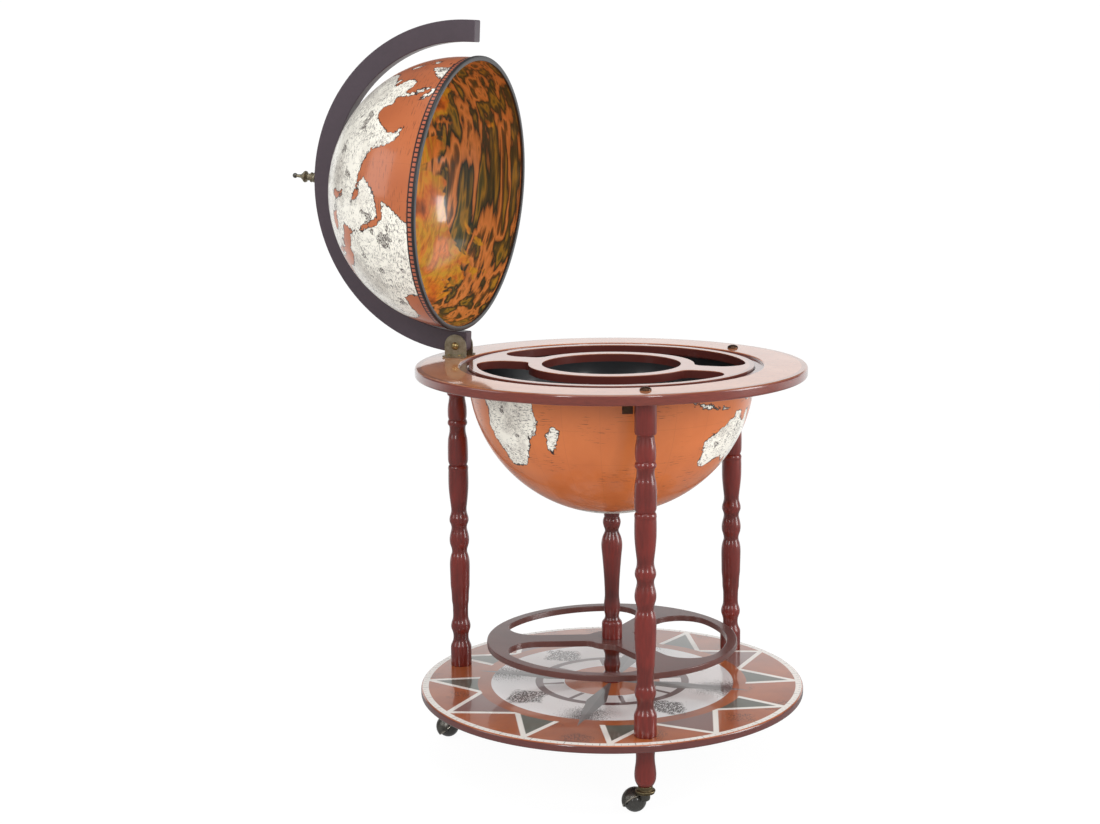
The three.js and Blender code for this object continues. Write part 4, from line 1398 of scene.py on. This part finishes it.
@dataclass
class Stand:
    """The turned legs, toes, centre post and spacer."""

    palette: Palette
    leg_radius: float = 15.4
    leg_top: float = 591.6
    leg_bottom: float = 118.8
    toe_radius: float = 15.5
    toe_top: float = 106.2
    toe_bottom: float = 45.3
    post_radius: float = 16.0
    post_top: float = 384.1
    post_bottom: float = 187.0
    spacer_top: float = 177.4
    # radius shares of the grooves that get painted shade and glaze
    glaze_from: float = 0.92
    glaze_to: float = 0.4
    leg_rows: Rows = (
        (0, 0.9965), (0.0905, 0.9965), (0.0905, 0.9965), (0.0945, 0.95), (0.0985, 0.81), (0.104, 0.8),
        (0.116, 0.85), (0.132, 0.925), (0.15, 0.955), (0.165, 0.935), (0.1752, 0.865), (0.1752, 0.865),
        (0.1785, 0.93), (0.185, 0.985), (0.1915, 0.945), (0.196, 0.84), (0.204, 0.8), (0.214, 0.815),
        (0.2252, 0.87), (0.236, 0.945), (0.25, 0.985), (0.275, 1.01), (0.3, 1.01), (0.314, 0.985),
        (0.3215, 0.91), (0.325, 0.86), (0.325, 0.86), (0.3285, 0.96), (0.335, 1.01), (0.342, 0.985),
        (0.342, 0.985), (0.36, 1.005), (0.394, 1.0), (0.415, 0.96), (0.437, 0.895), (0.456, 0.825),
        (0.472, 0.775), (0.4805, 0.79), (0.49, 0.85), (0.5, 0.94), (0.5085, 0.968), (0.516, 0.93),
        (0.524, 0.83), (0.533, 0.776), (0.543, 0.815), (0.555, 0.905), (0.567, 0.975), (0.577, 0.985),
        (0.588, 0.945), (0.599, 0.84), (0.609, 0.77), (0.6175, 0.785), (0.629, 0.89), (0.642, 0.97),
        (0.66, 1.0), (0.685, 0.988), (0.71, 0.972), (0.731, 0.955), (0.748, 0.9), (0.764, 0.872),
        (0.782, 0.85), (0.797, 0.785), (0.812, 0.77), (0.835, 0.77), (0.845, 0.82), (0.856, 0.93),
        (0.866, 0.98), (0.875, 0.955), (0.885, 0.85), (0.895, 0.775), (0.91, 0.77), (0.919, 0.84),
        (0.928, 0.955), (0.9335, 1.02), (0.94, 1.045), (0.94, 1.045), (0.996, 1.045), (0.996, 1.045),
        (1, 1.03),
    )
    toe_rows: Rows = (
        (0, 0.95), (0.05, 0.95), (0.15, 0.9), (0.28, 0.855), (0.42, 0.87), (0.58, 0.95), (0.72, 1),
        (0.86, 0.955), (0.95, 0.82), (1, 0.68),
    )
    post_rows: Rows = (
        (0, 0.74), (0.035, 0.74), (0.035, 0.74), (0.045, 0.7), (0.055, 0.76), (0.085, 0.85),
        (0.118, 0.78), (0.148, 0.655), (0.165, 0.68), (0.205, 0.88), (0.25, 0.99), (0.29, 0.985),
        (0.36, 0.9), (0.5, 0.765), (0.6, 0.7), (0.665, 0.68), (0.7, 0.72), (0.755, 0.785),
        (0.795, 0.73), (0.83, 0.655), (0.852, 0.74), (0.87, 0.91), (0.885, 0.965), (0.885, 0.965),
        (1, 0.96),
    )
    spacer_rows: Rows = (
        (0, 0.96), (0.08, 0.96), (0.08, 0.96), (0.14, 0.88), (0.25, 0.73), (0.36, 0.68), (0.46, 0.75),
        (0.54, 0.8), (0.63, 0.75), (0.73, 0.68), (0.79, 0.82), (0.83, 0.955), (0.83, 0.955), (1, 0.96),
    )

    def _turned(self, name: str, rows: Rows, radius: float, top: float, bottom: float) -> Piece:
        """Turns one piece and stores how deep each point lies in its grooves, the mask for painted shade and
        glaze.
        """
        side = [(0.0, top)] + flowing(rows, radius, top, top - bottom) + [(0.0, bottom)]
        piece = Bench.turn(name, side, 40)
        rounds = np.hypot(*Bench.points(piece).T[:2]) / (radius * MM)
        Bench.store(piece, "glaze", np.clip(self.glaze_from - rounds, 0, 1) * (rounds > self.glaze_to))
        Bench.polish(piece, self.palette.mahogany, angle=40)
        return piece

    def build(self) -> None:
        """Makes the legs and toes from one pattern each, then the post and the spacer."""
        places = [spot(LEG_CIRCLE, angle) for angle in LEG_ANGLES]
        leg = self._turned("leg_pattern", self.leg_rows, self.leg_radius, self.leg_top, self.leg_bottom)
        toe = self._turned("toe_pattern", self.toe_rows, self.toe_radius, self.toe_top, self.toe_bottom)
        repeat(Copies(leg, "turned_leg", Slot.MAHOGANY, "leg", places),
               Copies(toe, "turned_toe", Slot.MAHOGANY, "toe", places))
        radius = self.post_radius
        post = self._turned("turned_post", self.post_rows, radius, self.post_top, self.post_bottom)
        settle(post, Body.FRAME, Slot.MAHOGANY, "centre_post")
        spacer = self._turned("turned_spacer", self.spacer_rows, radius, self.spacer_top, self.leg_bottom)
        settle(spacer, Body.FRAME, Slot.MAHOGANY, "post_spacer")


@dataclass
class Base:
    """The printed base disc and the bottle ring above it."""

    palette: Palette
    radius: float = BOARD_RADIUS
    bottom: float = 106.5
    top: float = 118.5
    edge: float = 3.2
    ring_radius: float = 189.5
    ring_bottom: float = 177.7
    ring_thickness: float = 9.0
    ring_band: float = 16.0
    ring_hub: float = 38.0
    spoke: float = 18.0
    lobe: float = 45.0
    corner: float = 14.0
    spokes: tuple[float, ...] = (-158.0, -38.0, 82.0)

    def build(self) -> None:
        """Makes the disc and the ring."""
        side = rounded(self.radius, self.bottom, self.top, self.edge)
        disc = Bench.turn("base_board", [(0.0, self.bottom)] + side + [(0.0, self.top)], 144)
        Bench.flatten(disc)
        Bench.dress(disc, RosePrint("rose_print", self.radius, self.top).build())
        settle(disc, Body.FRAME, Slot.BASE_PRINT, "base_disc")
        low, thick = self.ring_bottom, self.ring_thickness
        ring = Bench.slab("bottle_ring_board", arc((0, 0), self.ring_radius, 0, 360, 120)[:-1], low, thick)
        rim = self.ring_radius - self.ring_band
        for start in self.spokes:
            outline = opening(self.ring_hub, rim, self.spoke, self.lobe, self.corner, start, start + 120)
            Bench.cut(ring, Bench.slab("bottle_hole", outline, low - SPARE, thick + 2 * SPARE))
        Bench.soften(ring, 1.3)
        Bench.dress(ring, self.palette.ring_wood)
        settle(ring, Body.FRAME, Slot.RING_WOOD, "bottle_ring")


@dataclass
class Casters:
    """Three ball casters: cup and collar, slanted hood, ball wheel."""

    palette: Palette
    trails: tuple[float, ...] = (195.0, 149.0, -20.0)
    trail: float = 22.5
    wheel: float = 16.5
    hood: float = 19.1
    wall: float = 1.3
    top: float = 44.7
    collar: float = 14.3
    cup: float = 10.5
    shoulder: float = 34.2
    lean: float = 42.0
    bead: float = 0.9
    bead_inset: float = 0.6
    bead_low: float = 4.6
    hood_low: float = 4.2
    neck: float = 7.0
    neck_bore: float = 3.35

    def build(self) -> None:
        """Makes one caster and copies it under each leg."""
        patterns = (self._cup(), self._hood(), self._wheel())
        for index, (angle, trail) in enumerate(zip(LEG_ANGLES, self.trails), 1):
            place = spot(LEG_CIRCLE, angle) @ Matrix.Rotation(math.radians(trail), 4, "Z")
            cup, hood, wheel = (
                Bench.copy(pattern, f"{pattern.name.removesuffix('_pattern')}_{index}", place)
                for pattern in patterns
            )
            settle(cup, Body.FRAME, Slot.CASTER_BRASS, f"caster_plate_{index}")
            settle(hood, Body.SWIVEL, Slot.PEWTER, f"caster_hood_{index}", index=index)
            settle(wheel, Body.WHEEL, Slot.WHEEL_PLASTIC, f"caster_wheel_{index}", index=index)
            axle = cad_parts[f"caster_axle_{index}"]
            for slot in axle.material_slots:
                slot.material = self.palette.pewter
        for pattern in patterns:
            bpy.data.objects.remove(pattern)

    def _cup(self) -> Piece:
        """Turns the cup with its rolled collar and swivel pin."""
        low, collar = self.shoulder, self.collar
        side = [(0, self.top), (self.cup - 0.5, self.top), (self.cup, self.top - 0.6), (self.cup, low + 6.2),
                (self.cup + 0.8, low + 5.4)]
        side += arc((collar - 1.7, low + 3.4), 1.7, 80, -80, 8)
        side += [(collar - 2.2, low + 1.5), (collar - 1.2, low + 1.1), (collar - 1.2, low + 0.3),
                 (collar - 1.6, low), (3, low), (3, low - 7.6), (2.6, low - 8), (0, low - 8)]
        piece = Bench.turn("caster_cup_pattern", side, 40)
        Bench.polish(piece, self.palette.caster_brass)
        return piece

    def _hood(self) -> Piece:
        """Cuts a ball shell with a slanted plane and adds the neck."""
        shell = self._ball("hood_ball", self.hood - self.wall / 2, 48, 32)
        bpy.ops.object.mode_set(mode="EDIT")
        turn = math.radians(self.lean)
        middle, lean = self._middle(), Vector((math.sin(turn), 0, math.cos(turn)))
        for centre, normal in ((middle, lean), (Vector((0, 0, self.hood_low)) * MM, (0, 0, 1))):
            bpy.ops.mesh.select_all(action="SELECT")
            bpy.ops.mesh.bisect(plane_co=centre, plane_no=normal, clear_inner=True)
        Bench.close_up(shell, "caster_hood_pattern", outward=False)
        Bench.apply(shell, "SOLIDIFY", thickness=self.wall * MM, offset=0)
        outer, inner = self.neck, self.neck_bore
        low = self.wheel + 5.5
        high = self.shoulder - 0.5
        side = [(inner, high), (outer - 0.4, high), (outer, high - 0.5), (outer, low + 4.5),
                (outer - 0.8, low + 2.2), (outer - 2.8, low + 0.6), (outer - 5, low), (0, low), (0, low + 2),
                (inner, low + 2)]
        neck = Bench.turn("neck", side, 32, closed=True)
        Bench.cut(neck, self._ball("neck_room", self.hood - self.wall, 40, 24))
        piece = Bench.unite("caster_hood_pattern", shell, neck, self._bead(turn))

        def on_bead(spot: Vector) -> int:
            """Picks the lighter finish, a painted highlight, for the faces of the rolled edge."""
            rise = (spot - middle).dot(lean)
            reach = (spot - middle - lean * rise).length - (self.hood - self.bead_inset) * MM
            return int(math.hypot(reach, rise) < (self.bead + 0.05) * MM)

        Bench.polish(piece, self.palette.pewter, self.palette.painted_highlight_edge, choose=on_bead)
        return piece

    def _bead(self, turn: float) -> Piece:
        """Rolls the hood's slanted edge."""
        Bench.clear()
        bpy.ops.mesh.primitive_torus_add(
            major_segments=64, minor_segments=10, major_radius=(self.hood - self.bead_inset) * MM,
            minor_radius=self.bead * MM, rotation=(0, turn, 0), location=self._middle(),
        )
        bead = bpy.context.object
        bpy.ops.object.mode_set(mode="EDIT")
        bpy.ops.mesh.select_all(action="SELECT")
        low = Vector((0, 0, self.bead_low)) * MM
        bpy.ops.mesh.bisect(plane_co=low, plane_no=(0, 0, 1), clear_inner=True, use_fill=True)
        return Bench.close_up(bead, "hood_bead")

    def _middle(self) -> Vector:
        """The wheel's centre in metres."""
        return Vector((self.trail, 0, self.wheel)) * MM

    def _ball(self, name: str, radius: float, segments: int, rings: int) -> Piece:
        """Adds a ball round the wheel's centre."""
        Bench.clear()
        bpy.ops.mesh.primitive_uv_sphere_add(segments=segments, ring_count=rings, radius=radius * MM,
                                             location=self._middle())
        bpy.context.object.name = name
        return bpy.context.object

    def _wheel(self) -> Piece:
        """Turns the ball wheel on its cross axle."""
        radius = self.wheel
        side = [(2.8, -15.6), (4.4, -15.9)] + arc((0, 0), radius, -70, -4, 13)
        side += [(radius - 0.5, -0.9), (radius - 0.5, 0.9)]
        side += arc((0, 0), radius, 4, 70, 13) + [(4.4, 15.9), (2.8, 15.6)]
        piece = Bench.turn("caster_wheel_pattern", side, 48, closed=True)
        Bench.move(piece, sideways(self.trail, radius))
        Bench.polish(piece, self.palette.black)
        return piece


@dataclass
class Bracket:
    """The hinge bracket, its pin and screws, and the caps over the other two legs."""

    palette: Palette
    rise: float = 17.0
    top: float = TABLE_TOP
    half: float = 17.5
    thick: float = 2.5
    foot: float = 9.0
    gap: float = 11.0
    cap_radius: float = 8.3
    cap_height: float = 4.5

    def build(self) -> None:
        """Makes the ears, the pin, the foot screws and the caps."""
        for name, side in (("front", -1), ("back", 1)):
            self._ear(name, side)
        self._pin()
        self._screws()
        self._caps()

    def _ear(self, name: str, side: int) -> None:
        """Cuts a round-topped ear and joins its foot."""
        base = self.top + CLEARANCE
        middle = self.top + self.rise
        low = self.gap if side > 0 else -self.gap - self.thick
        face = [(-PIVOT - self.half, base), (-PIVOT + self.half, base)]
        face += arc((-PIVOT, middle), self.half, 0, 180, 32)
        ear = Bench.slab(f"hinge_ear_plate_{name}", face, low, self.thick, Side.STANDING)
        near = low if side > 0 else low - self.foot
        far = near + self.foot + self.thick
        west, east = -PIVOT - self.half, -PIVOT + self.half
        flat = [(west, near), (east, near), (east, far), (west, far)]
        foot = Bench.slab("ear_foot", flat, base, self.thick)
        Bench.cut(ear, foot, "UNION")
        Bench.drill(ear, PIN_HOLE, -PIN_REACH, PIN_REACH, sideways(-PIVOT, middle))
        Bench.soften(ear, 0.7)
        Bench.dress(ear, self.palette.brass)
        settle(ear, Body.FRAME, Slot.BRASS, f"hinge_ear_{name}")

    def _pin(self) -> None:
        """Turns the pivot pin with a domed and dimpled head at each end."""
        inner = self.gap + self.thick + CLEARANCE
        head = [(3, inner), (6, inner), (6, inner + 0.7), (5.4, inner + 1.6), (4.2, inner + 2.5),
                (2.6, inner + 3.2), (1.6, inner + 3.4), (1.2, inner + 2.4), (0, inner + 2.3)]
        side = [(radius, -height) for radius, height in reversed(head)] + head
        pin = Bench.turn("pivot_pin", side, 32)
        Bench.move(pin, sideways(-PIVOT, self.top + self.rise))
        Bench.polish(pin, self.palette.bright_brass)
        settle(pin, Body.FRAME, Slot.BRASS, "hinge_pin")

    def _screws(self) -> None:
        """Turns one foot screw and copies it."""
        head = [(0, 0.8), (0.8, 0.9), (1.0, 1.5), (1.8, 1.3), (2.4, 0.7), (2.6, 0), (0, 0)]
        screw = Bench.turn("foot_pattern", head, 24)
        Bench.polish(screw, self.palette.bright_brass, angle=50)
        across, along = self.gap + self.thick + self.foot / 2, self.half / 2
        height = self.top + self.thick + 2 * CLEARANCE
        places = [shift(-PIVOT + along * ahead, side * across, height)
                  for side in (-1, 1) for ahead in (-1, 1)]
        repeat(Copies(screw, "foot_screw_head", Slot.BRASS, "foot_screw", places))

    def _caps(self) -> None:
        """Turns one stepped cap and copies it."""
        radius, high = self.cap_radius, self.cap_height
        side = [(0, high - 1.0), (1.4, high - 1.0), (1.8, high - 0.3), (3.6, high - 0.1),
                (4.4, high - 0.6), (5.6, high - 0.9), (6.8, high - 1.6), (7.8, high - 2.6), (radius, 0.9),
                (radius, 0), (0, 0)]
        cap = Bench.turn("cap_pattern", side, 40)
        Bench.polish(cap, self.palette.bronze, angle=50)
        places = [spot(LEG_CIRCLE, angle, self.top + CLEARANCE) for angle in LEG_ANGLES[1:]]
        repeat(Copies(cap, "leg_cap", Slot.BRASS, "screw_cap", places))


@dataclass
class Lid:
    """The half ring, the upper globe shell, its rim and the finial."""

    palette: Palette
    pivot_height: float = 623.9
    offset: float = 237.5
    above: float = 3.0
    outer: float = 248.0
    facet: float = 0.3
    inner: float = 215.5
    thick: float = 20.0
    extension: float = 13.5
    heel: float = 9.0
    tip: float = 2.0
    open_angle: float = 87.3
    sag: float = 2.05
    shell: float = 202.5
    wall: float = 3.0
    band: float = 11.0
    rim_proud: float = 2.8
    rim_skirt: float = 1.8
    rim_lip: float = 1.4
    rim_thick: float = 2.2
    pole_bore: float = 4.7
    finial_length: float = 41.0
    finial_radius: float = 8.8
    finial_tip: float = 3.9
    bolt: float = 3.0
    nut_radius: float = 7.5

    def __post_init__(self) -> None:
        """Works out how the arc and the shell stand when open."""
        lean = Matrix.Rotation(math.radians(-self.open_angle), 4, "Y")
        self.arc_place: Matrix = shift(-PIVOT, 0, self.pivot_height) @ lean
        middle = (self.outer + self.inner) / 2
        pole = self.arc_place @ shift(self.offset, 0, middle - self.above)
        sag = Matrix.Rotation(math.radians(self.sag), 4, "Y")
        self.shell_place: Matrix = pole @ sag @ shift(0, 0, -middle)

    def build(self) -> None:
        """Makes the arc, the shell, the rim and the finial."""
        self._arc()
        self._shell()
        self._rim()
        self._finial()

    def _arc(self) -> None:
        """Cuts the half ring with its straight ends, its pivot hole and its pole bore."""
        foot = -self.extension
        outer = self.outer - self.facet
        outline = arc((0, 0), outer, 0, 180, 96)
        outline += arc((-outer + self.heel, foot + self.heel), self.heel, 180, 270, 10)
        outline += arc((-self.inner - self.tip, foot + self.tip), self.tip, 270, 360, 4)
        outline += arc((0, 0), self.inner, 180, 0, 96)
        outline += arc((self.inner + self.tip, foot + self.tip), self.tip, 180, 270, 4)
        outline += arc((outer - self.tip, foot + self.tip), self.tip, 270, 360, 4)
        piece = Bench.slab("half_ring", outline, -self.thick / 2, self.thick, Side.STANDING)
        Bench.drill(piece, PIN_HOLE, -PIN_REACH, PIN_REACH, sideways(-self.offset, self.above))
        Bench.drill(piece, self.pole_bore, self.inner - SPARE, self.outer + SPARE, Matrix())
        Bench.soften(piece, 1.2)
        Bench.dress(piece, self.palette.dark_wood)
        Bench.move(piece, self.arc_place @ shift(self.offset, 0, -self.above))
        settle(piece, Body.ARC, Slot.DARK_WOOD, "meridian_arc")

    def _shell(self) -> None:
        """Turns the shell, stamps the map on it and paints its inside."""
        inside = self.shell - self.wall
        side = [(self.shell, -self.band)]
        side += arc((0, 0), self.shell, 0, math.degrees(math.acos(PIN_HOLE / self.shell)), 64)
        side += arc((0, 0), inside, math.degrees(math.acos(PIN_HOLE / inside)), 0, 40)
        side += [(inside, -self.band)]
        piece = Bench.turn("lid_globe_shell", side, 192, closed=True)
        WorldMap.stamp(piece, Vector((0, 0, 0)))
        middle = (self.shell - self.wall / 2) * MM
        outside = MapPrint("lid_print", (198, 112, 66), (178, 94, 52), band_low=-9.0, band_high=-1.9)
        Bench.polish(piece, outside.build(), MarbledInside("marbled_inside").build(),
                     choose=lambda spot: 0 if math.hypot(spot.x, spot.y, max(spot.z, 0)) > middle else 1)
        Bench.move(piece, self.shell_place)
        settle(piece, Body.LID, Slot.LID_PRINT, "lid_shell")

    def _rim(self) -> None:
        """Turns the rim trim round the shell's edge."""
        floor = -self.band - CLEARANCE
        bottom = floor - self.rim_thick
        skirt, lip_top = -self.band + self.rim_skirt, -self.band + self.rim_lip
        out, near = self.shell + self.rim_proud, self.shell + CLEARANCE
        lip = self.shell - self.wall - CLEARANCE
        side = arc((out - 1.2, bottom + 1.2), 1.2, -90, 0, 5)
        side += arc((out - 1.0, skirt - 1.0), 1.0, 0, 90, 5)
        side += [(near, skirt), (near, floor), (lip, floor), (lip, lip_top)]
        side += arc((lip - 0.6, lip_top - 0.6), 0.6, 90, 180, 4)
        side += arc((lip - 0.4, bottom + 0.8), 0.8, 180, 270, 4)
        piece = Bench.turn("rim_ring", side, 192, closed=True)
        self._hang(piece, self.palette.trim, Slot.RIM_TRIM, "lid_rim")

    def _hang(self, piece: Piece, finish: Material, slot: Slot, *nodes: str, angle: float = 32) -> None:
        """Smooths and dresses a piece that stands upright, and hangs it on the open lid.

        Args:
            piece: The piece.
            finish: Its finish.
            slot: The record's material slot.
            nodes: The nodes that it replaces.
            angle: Largest angle that is shaded smooth, in degrees.
        """
        Bench.polish(piece, finish, angle=angle)
        Bench.move(piece, self.shell_place)
        settle(piece, Body.LID, slot, *nodes)

    def _finial(self) -> None:
        """Turns the finial, its round tip, the spacer and the nut."""
        base = self.outer + 0.8
        length = self.finial_length
        rows = (
            (0.09, 0.3), (0.19, 0.26), (0.36, 0.36), (0.42, 0.6), (0.47, 0.62), (0.5, 0.96), (0.54, 1.0),
            (0.57, 0.94), (0.62, 0.52), (0.68, 0.62), (0.74, 0.52), (0.78, 0.84), (0.81, 0.87), (0.86, 0.7),
            (0.9, 0.86), (0.99, 0.87), (1, 0.8),
        )
        bolt, bolt_end = self.bolt, self.shell - self.wall - 6
        stem = [(0, base + length * 0.91)]
        stem += flowing(rows, self.finial_radius, base + length, length, 3)
        stem += [(bolt, base), (bolt, bolt_end), (0, bolt_end)]
        piece = Bench.turn("finial_stem", stem, 36)
        self._hang(piece, self.palette.brass, Slot.BRASS, "finial", angle=45)
        tip = self.finial_tip
        side = arc((0, base + length - tip), tip, 90, -90, 16)
        side[0], side[-1] = (0, base + length), (0, base + length - 2 * tip)
        self._hang(Bench.turn("finial_tip", side, 32), self.palette.pewter, Slot.BRASS)
        self._inner_fittings()

    def _inner_fittings(self) -> None:
        """Turns the spacer outside the shell and the dome nut inside it."""
        bore = PIN_HOLE
        low = math.sqrt((self.shell + CLEARANCE) ** 2 - bore ** 2)
        top = self.inner - 0.8
        side = [(bore, low), (bore, top), (5.6, top), (6.6, top - 1.2), (7.0, top - 3.5), (5.9, top - 5.5),
                (5.9, top - 7), (7.0, top - 9), (7.0, low)]
        spacer = Bench.turn("pole_spacer", side, 32, closed=True)
        wide = self.nut_radius
        high = math.sqrt((self.shell - self.wall - 2 * CLEARANCE) ** 2 - wide ** 2)
        side = [(bore, high), (wide, high), (wide, high - 2), (6.6, high - 2.6), (6.4, high - 4.4),
                (5.2, high - 6), (bore, high - 6)]
        nut = Bench.turn("pole_nut", side, 32, closed=True)
        for piece, node in ((spacer, "finial_spacer"), (nut, "finial_nut")):
            self._hang(piece, self.palette.brass, Slot.BRASS, node)


@dataclass(frozen=True)
class Lamp:
    """A soft panel: its turn from the camera, its place in metres, its size and its power."""

    name: str
    turn: float
    away: float
    height: float
    width: float
    tall: float
    power: float

    def build(self, azimuth: float, aim_height: float) -> None:
        """Hangs the panel and aims it at the middle of the bar."""
        light = bpy.data.lights.new(self.name, "AREA")
        light.shape = "RECTANGLE"
        light.size, light.size_y, light.energy = self.width, self.tall, self.power
        panel = bpy.data.objects.new(self.name, light)
        side = math.radians(azimuth + self.turn)
        panel.location = (math.sin(side) * self.away, -math.cos(side) * self.away, self.height)
        aim = Vector((0, 0, aim_height)) - panel.location
        panel.rotation_euler = aim.to_track_quat("-Z", "Y").to_euler()
        bpy.context.collection.objects.link(panel)


@dataclass(frozen=True)
class Studio:
    """The pale floor and wall, the soft light and the camera."""

    width: int = 1100
    focal: float = 1881.17
    centre_x: float = 611.46
    sensor: float = 36.0
    azimuth: float = 19.38
    distance: float = 2756.2
    camera_height: float = 1017.0
    pitch: float = 0.1735
    roll: float = -0.0026
    wall_distance: float = 5.0
    wall_width: float = 9.0
    wall_height: float = 5.0
    wall_fade: float = 1.8
    wall_blur: float = 0.4
    wall_glow: float = 1.03
    aim_height: float = 0.55
    world_glossy: float = 0.16
    world_soft: float = 0.47
    floor_glossy: float = 0.3
    floor_glow: float = 1.06
    floor_seen: float = 0.9
    floor_tint: Rgb = (246, 246, 246)
    floor_fleck: Rgb = (243, 243, 243)
    lamps: tuple[Lamp, ...] = (
        Lamp("front_left", -27.0, 2.9, 1.75, 0.42, 1.3, 20.0),
        Lamp("front_right", 24.0, 2.9, 1.75, 0.42, 1.3, 20.0),
        Lamp("side_left", -75.0, 3.0, 1.6, 1.2, 1.6, 13.0),
        Lamp("side_right", 82.0, 2.8, 1.3, 1.0, 2.0, 44.0),
        Lamp("above", 0.0, 0.8, 3.3, 2.4, 2.4, 30.0),
    )

    def build(self) -> None:
        """Sets the camera, the floor, the wall and the light."""
        self._camera()
        self._floor()
        self._backdrop()
        self._light()

    def _camera(self) -> None:
        """Places the camera at the photograph's angle."""
        turn = math.radians(self.azimuth)
        right = Vector((math.cos(turn), math.sin(turn), 0))
        level = math.cos(self.pitch)
        ahead = Vector((-math.sin(turn) * level, math.cos(turn) * level, -math.sin(self.pitch)))
        up = right.cross(ahead)
        lens = bpy.data.cameras.new("camera")
        lens.sensor_width = self.sensor
        lens.lens = self.focal * self.sensor / self.width
        lens.shift_x = (self.width / 2 - self.centre_x) / self.width
        lens.clip_start, lens.clip_end = 0.05, 60.0
        camera = bpy.data.objects.new("camera", lens)
        axes = Matrix((right, up, -ahead)).transposed().to_4x4()
        back = Vector((math.sin(turn), -math.cos(turn), 0)) * self.distance
        place = (back + Vector((0, 0, self.camera_height))) * MM
        camera.matrix_world = Matrix.Translation(place) @ axes @ Matrix.Rotation(self.roll, 4, "Z")
        bpy.context.collection.objects.link(camera)
        bpy.context.scene.camera = camera

    def _floor(self) -> None:
        """Lays the floor, white to the camera with a faint shadow kept."""
        Bench.clear()
        bpy.ops.mesh.primitive_plane_add(size=60, location=(0, 0, -0.0006))
        floor = bpy.context.object
        floor.name = "studio_floor"
        graph = Graph("studio_floor")
        place = graph.place()
        fleck = graph.noise(place, 6.0, 2.0)
        colour = graph.mix(fleck, self.floor_tint, self.floor_fleck)
        paint = graph.node("ShaderNodeBsdfDiffuse", {}, {"Color": colour})
        path = graph.node("ShaderNodeLightPath", {}, {})
        seen = graph.wire(path.outputs["Is Camera Ray"]) * self.floor_seen
        x, y, _ = graph.parts(place)
        turn = math.radians(self.azimuth)
        behind = y * math.cos(turn) - x * math.sin(turn)
        strength = behind.over(1.2, 1.0) * 0.6 + self.floor_glossy
        paint = graph.blend(path.outputs["Is Glossy Ray"], paint, graph.glow(strength))
        mixed = graph.blend(seen, paint, graph.glow(self.floor_glow))
        floor.data.materials.append(graph.close(mixed))

    def _backdrop(self) -> None:
        """Stands a white wall behind the bar, which its tops reflect."""
        Bench.clear()
        turn = math.radians(self.azimuth)
        away = self.wall_distance
        place = Vector((-math.sin(turn) * away, math.cos(turn) * away, self.wall_height / 2))
        bpy.ops.mesh.primitive_plane_add(size=1, location=place, rotation=(math.pi / 2, 0, turn))
        wall = bpy.context.object
        wall.scale = (self.wall_width, self.wall_height, 1)
        wall.name = "studio_wall"
        graph = Graph("studio_wall")
        height = (graph.parts(graph.place())[1] + 0.5) * self.wall_height
        low = 1 - height.over(self.wall_fade, self.wall_blur)
        shade = low * (self.wall_glow - self.world_glossy) + self.world_glossy
        path = graph.node("ShaderNodeLightPath", {}, {})
        strength = graph.wire(path.outputs["Is Camera Ray"]).most(shade)
        wall.data.materials.append(graph.close(graph.glow(strength)))

    def _light(self) -> None:
        """Sets a pale world and the soft panels."""
        graph = Graph("studio", world=True)
        path = graph.node("ShaderNodeLightPath", {}, {})
        camera = graph.wire(path.outputs["Is Camera Ray"])
        glossy = graph.wire(path.outputs["Is Glossy Ray"])
        level = camera.most(glossy * self.world_glossy + (1 - glossy) * self.world_soft)
        air = graph.node("ShaderNodeBackground", {}, {0: (1, 1, 1, 1), 1: level})
        bpy.context.scene.world = graph.close(air, "ShaderNodeOutputWorld")
        for lamp in self.lamps:
            lamp.build(self.azimuth, self.aim_height)
        bpy.context.scene.view_settings.view_transform = "Standard"


def main() -> None:
    """Builds the bar piece by piece and sets the studio round it."""
    logging.basicConfig(level=logging.INFO, format="%(name)s %(message)s")
    palette = Palette()
    parts = (GlobeBowl, Stand, Base, Casters, Bracket, Lid)
    for sub_assembly in (Studio(), Table(), *(part(palette) for part in parts)):
        sub_assembly.build()
        LOG.info("%s built", type(sub_assembly).__name__)


if __name__ == "__main__":
    main()
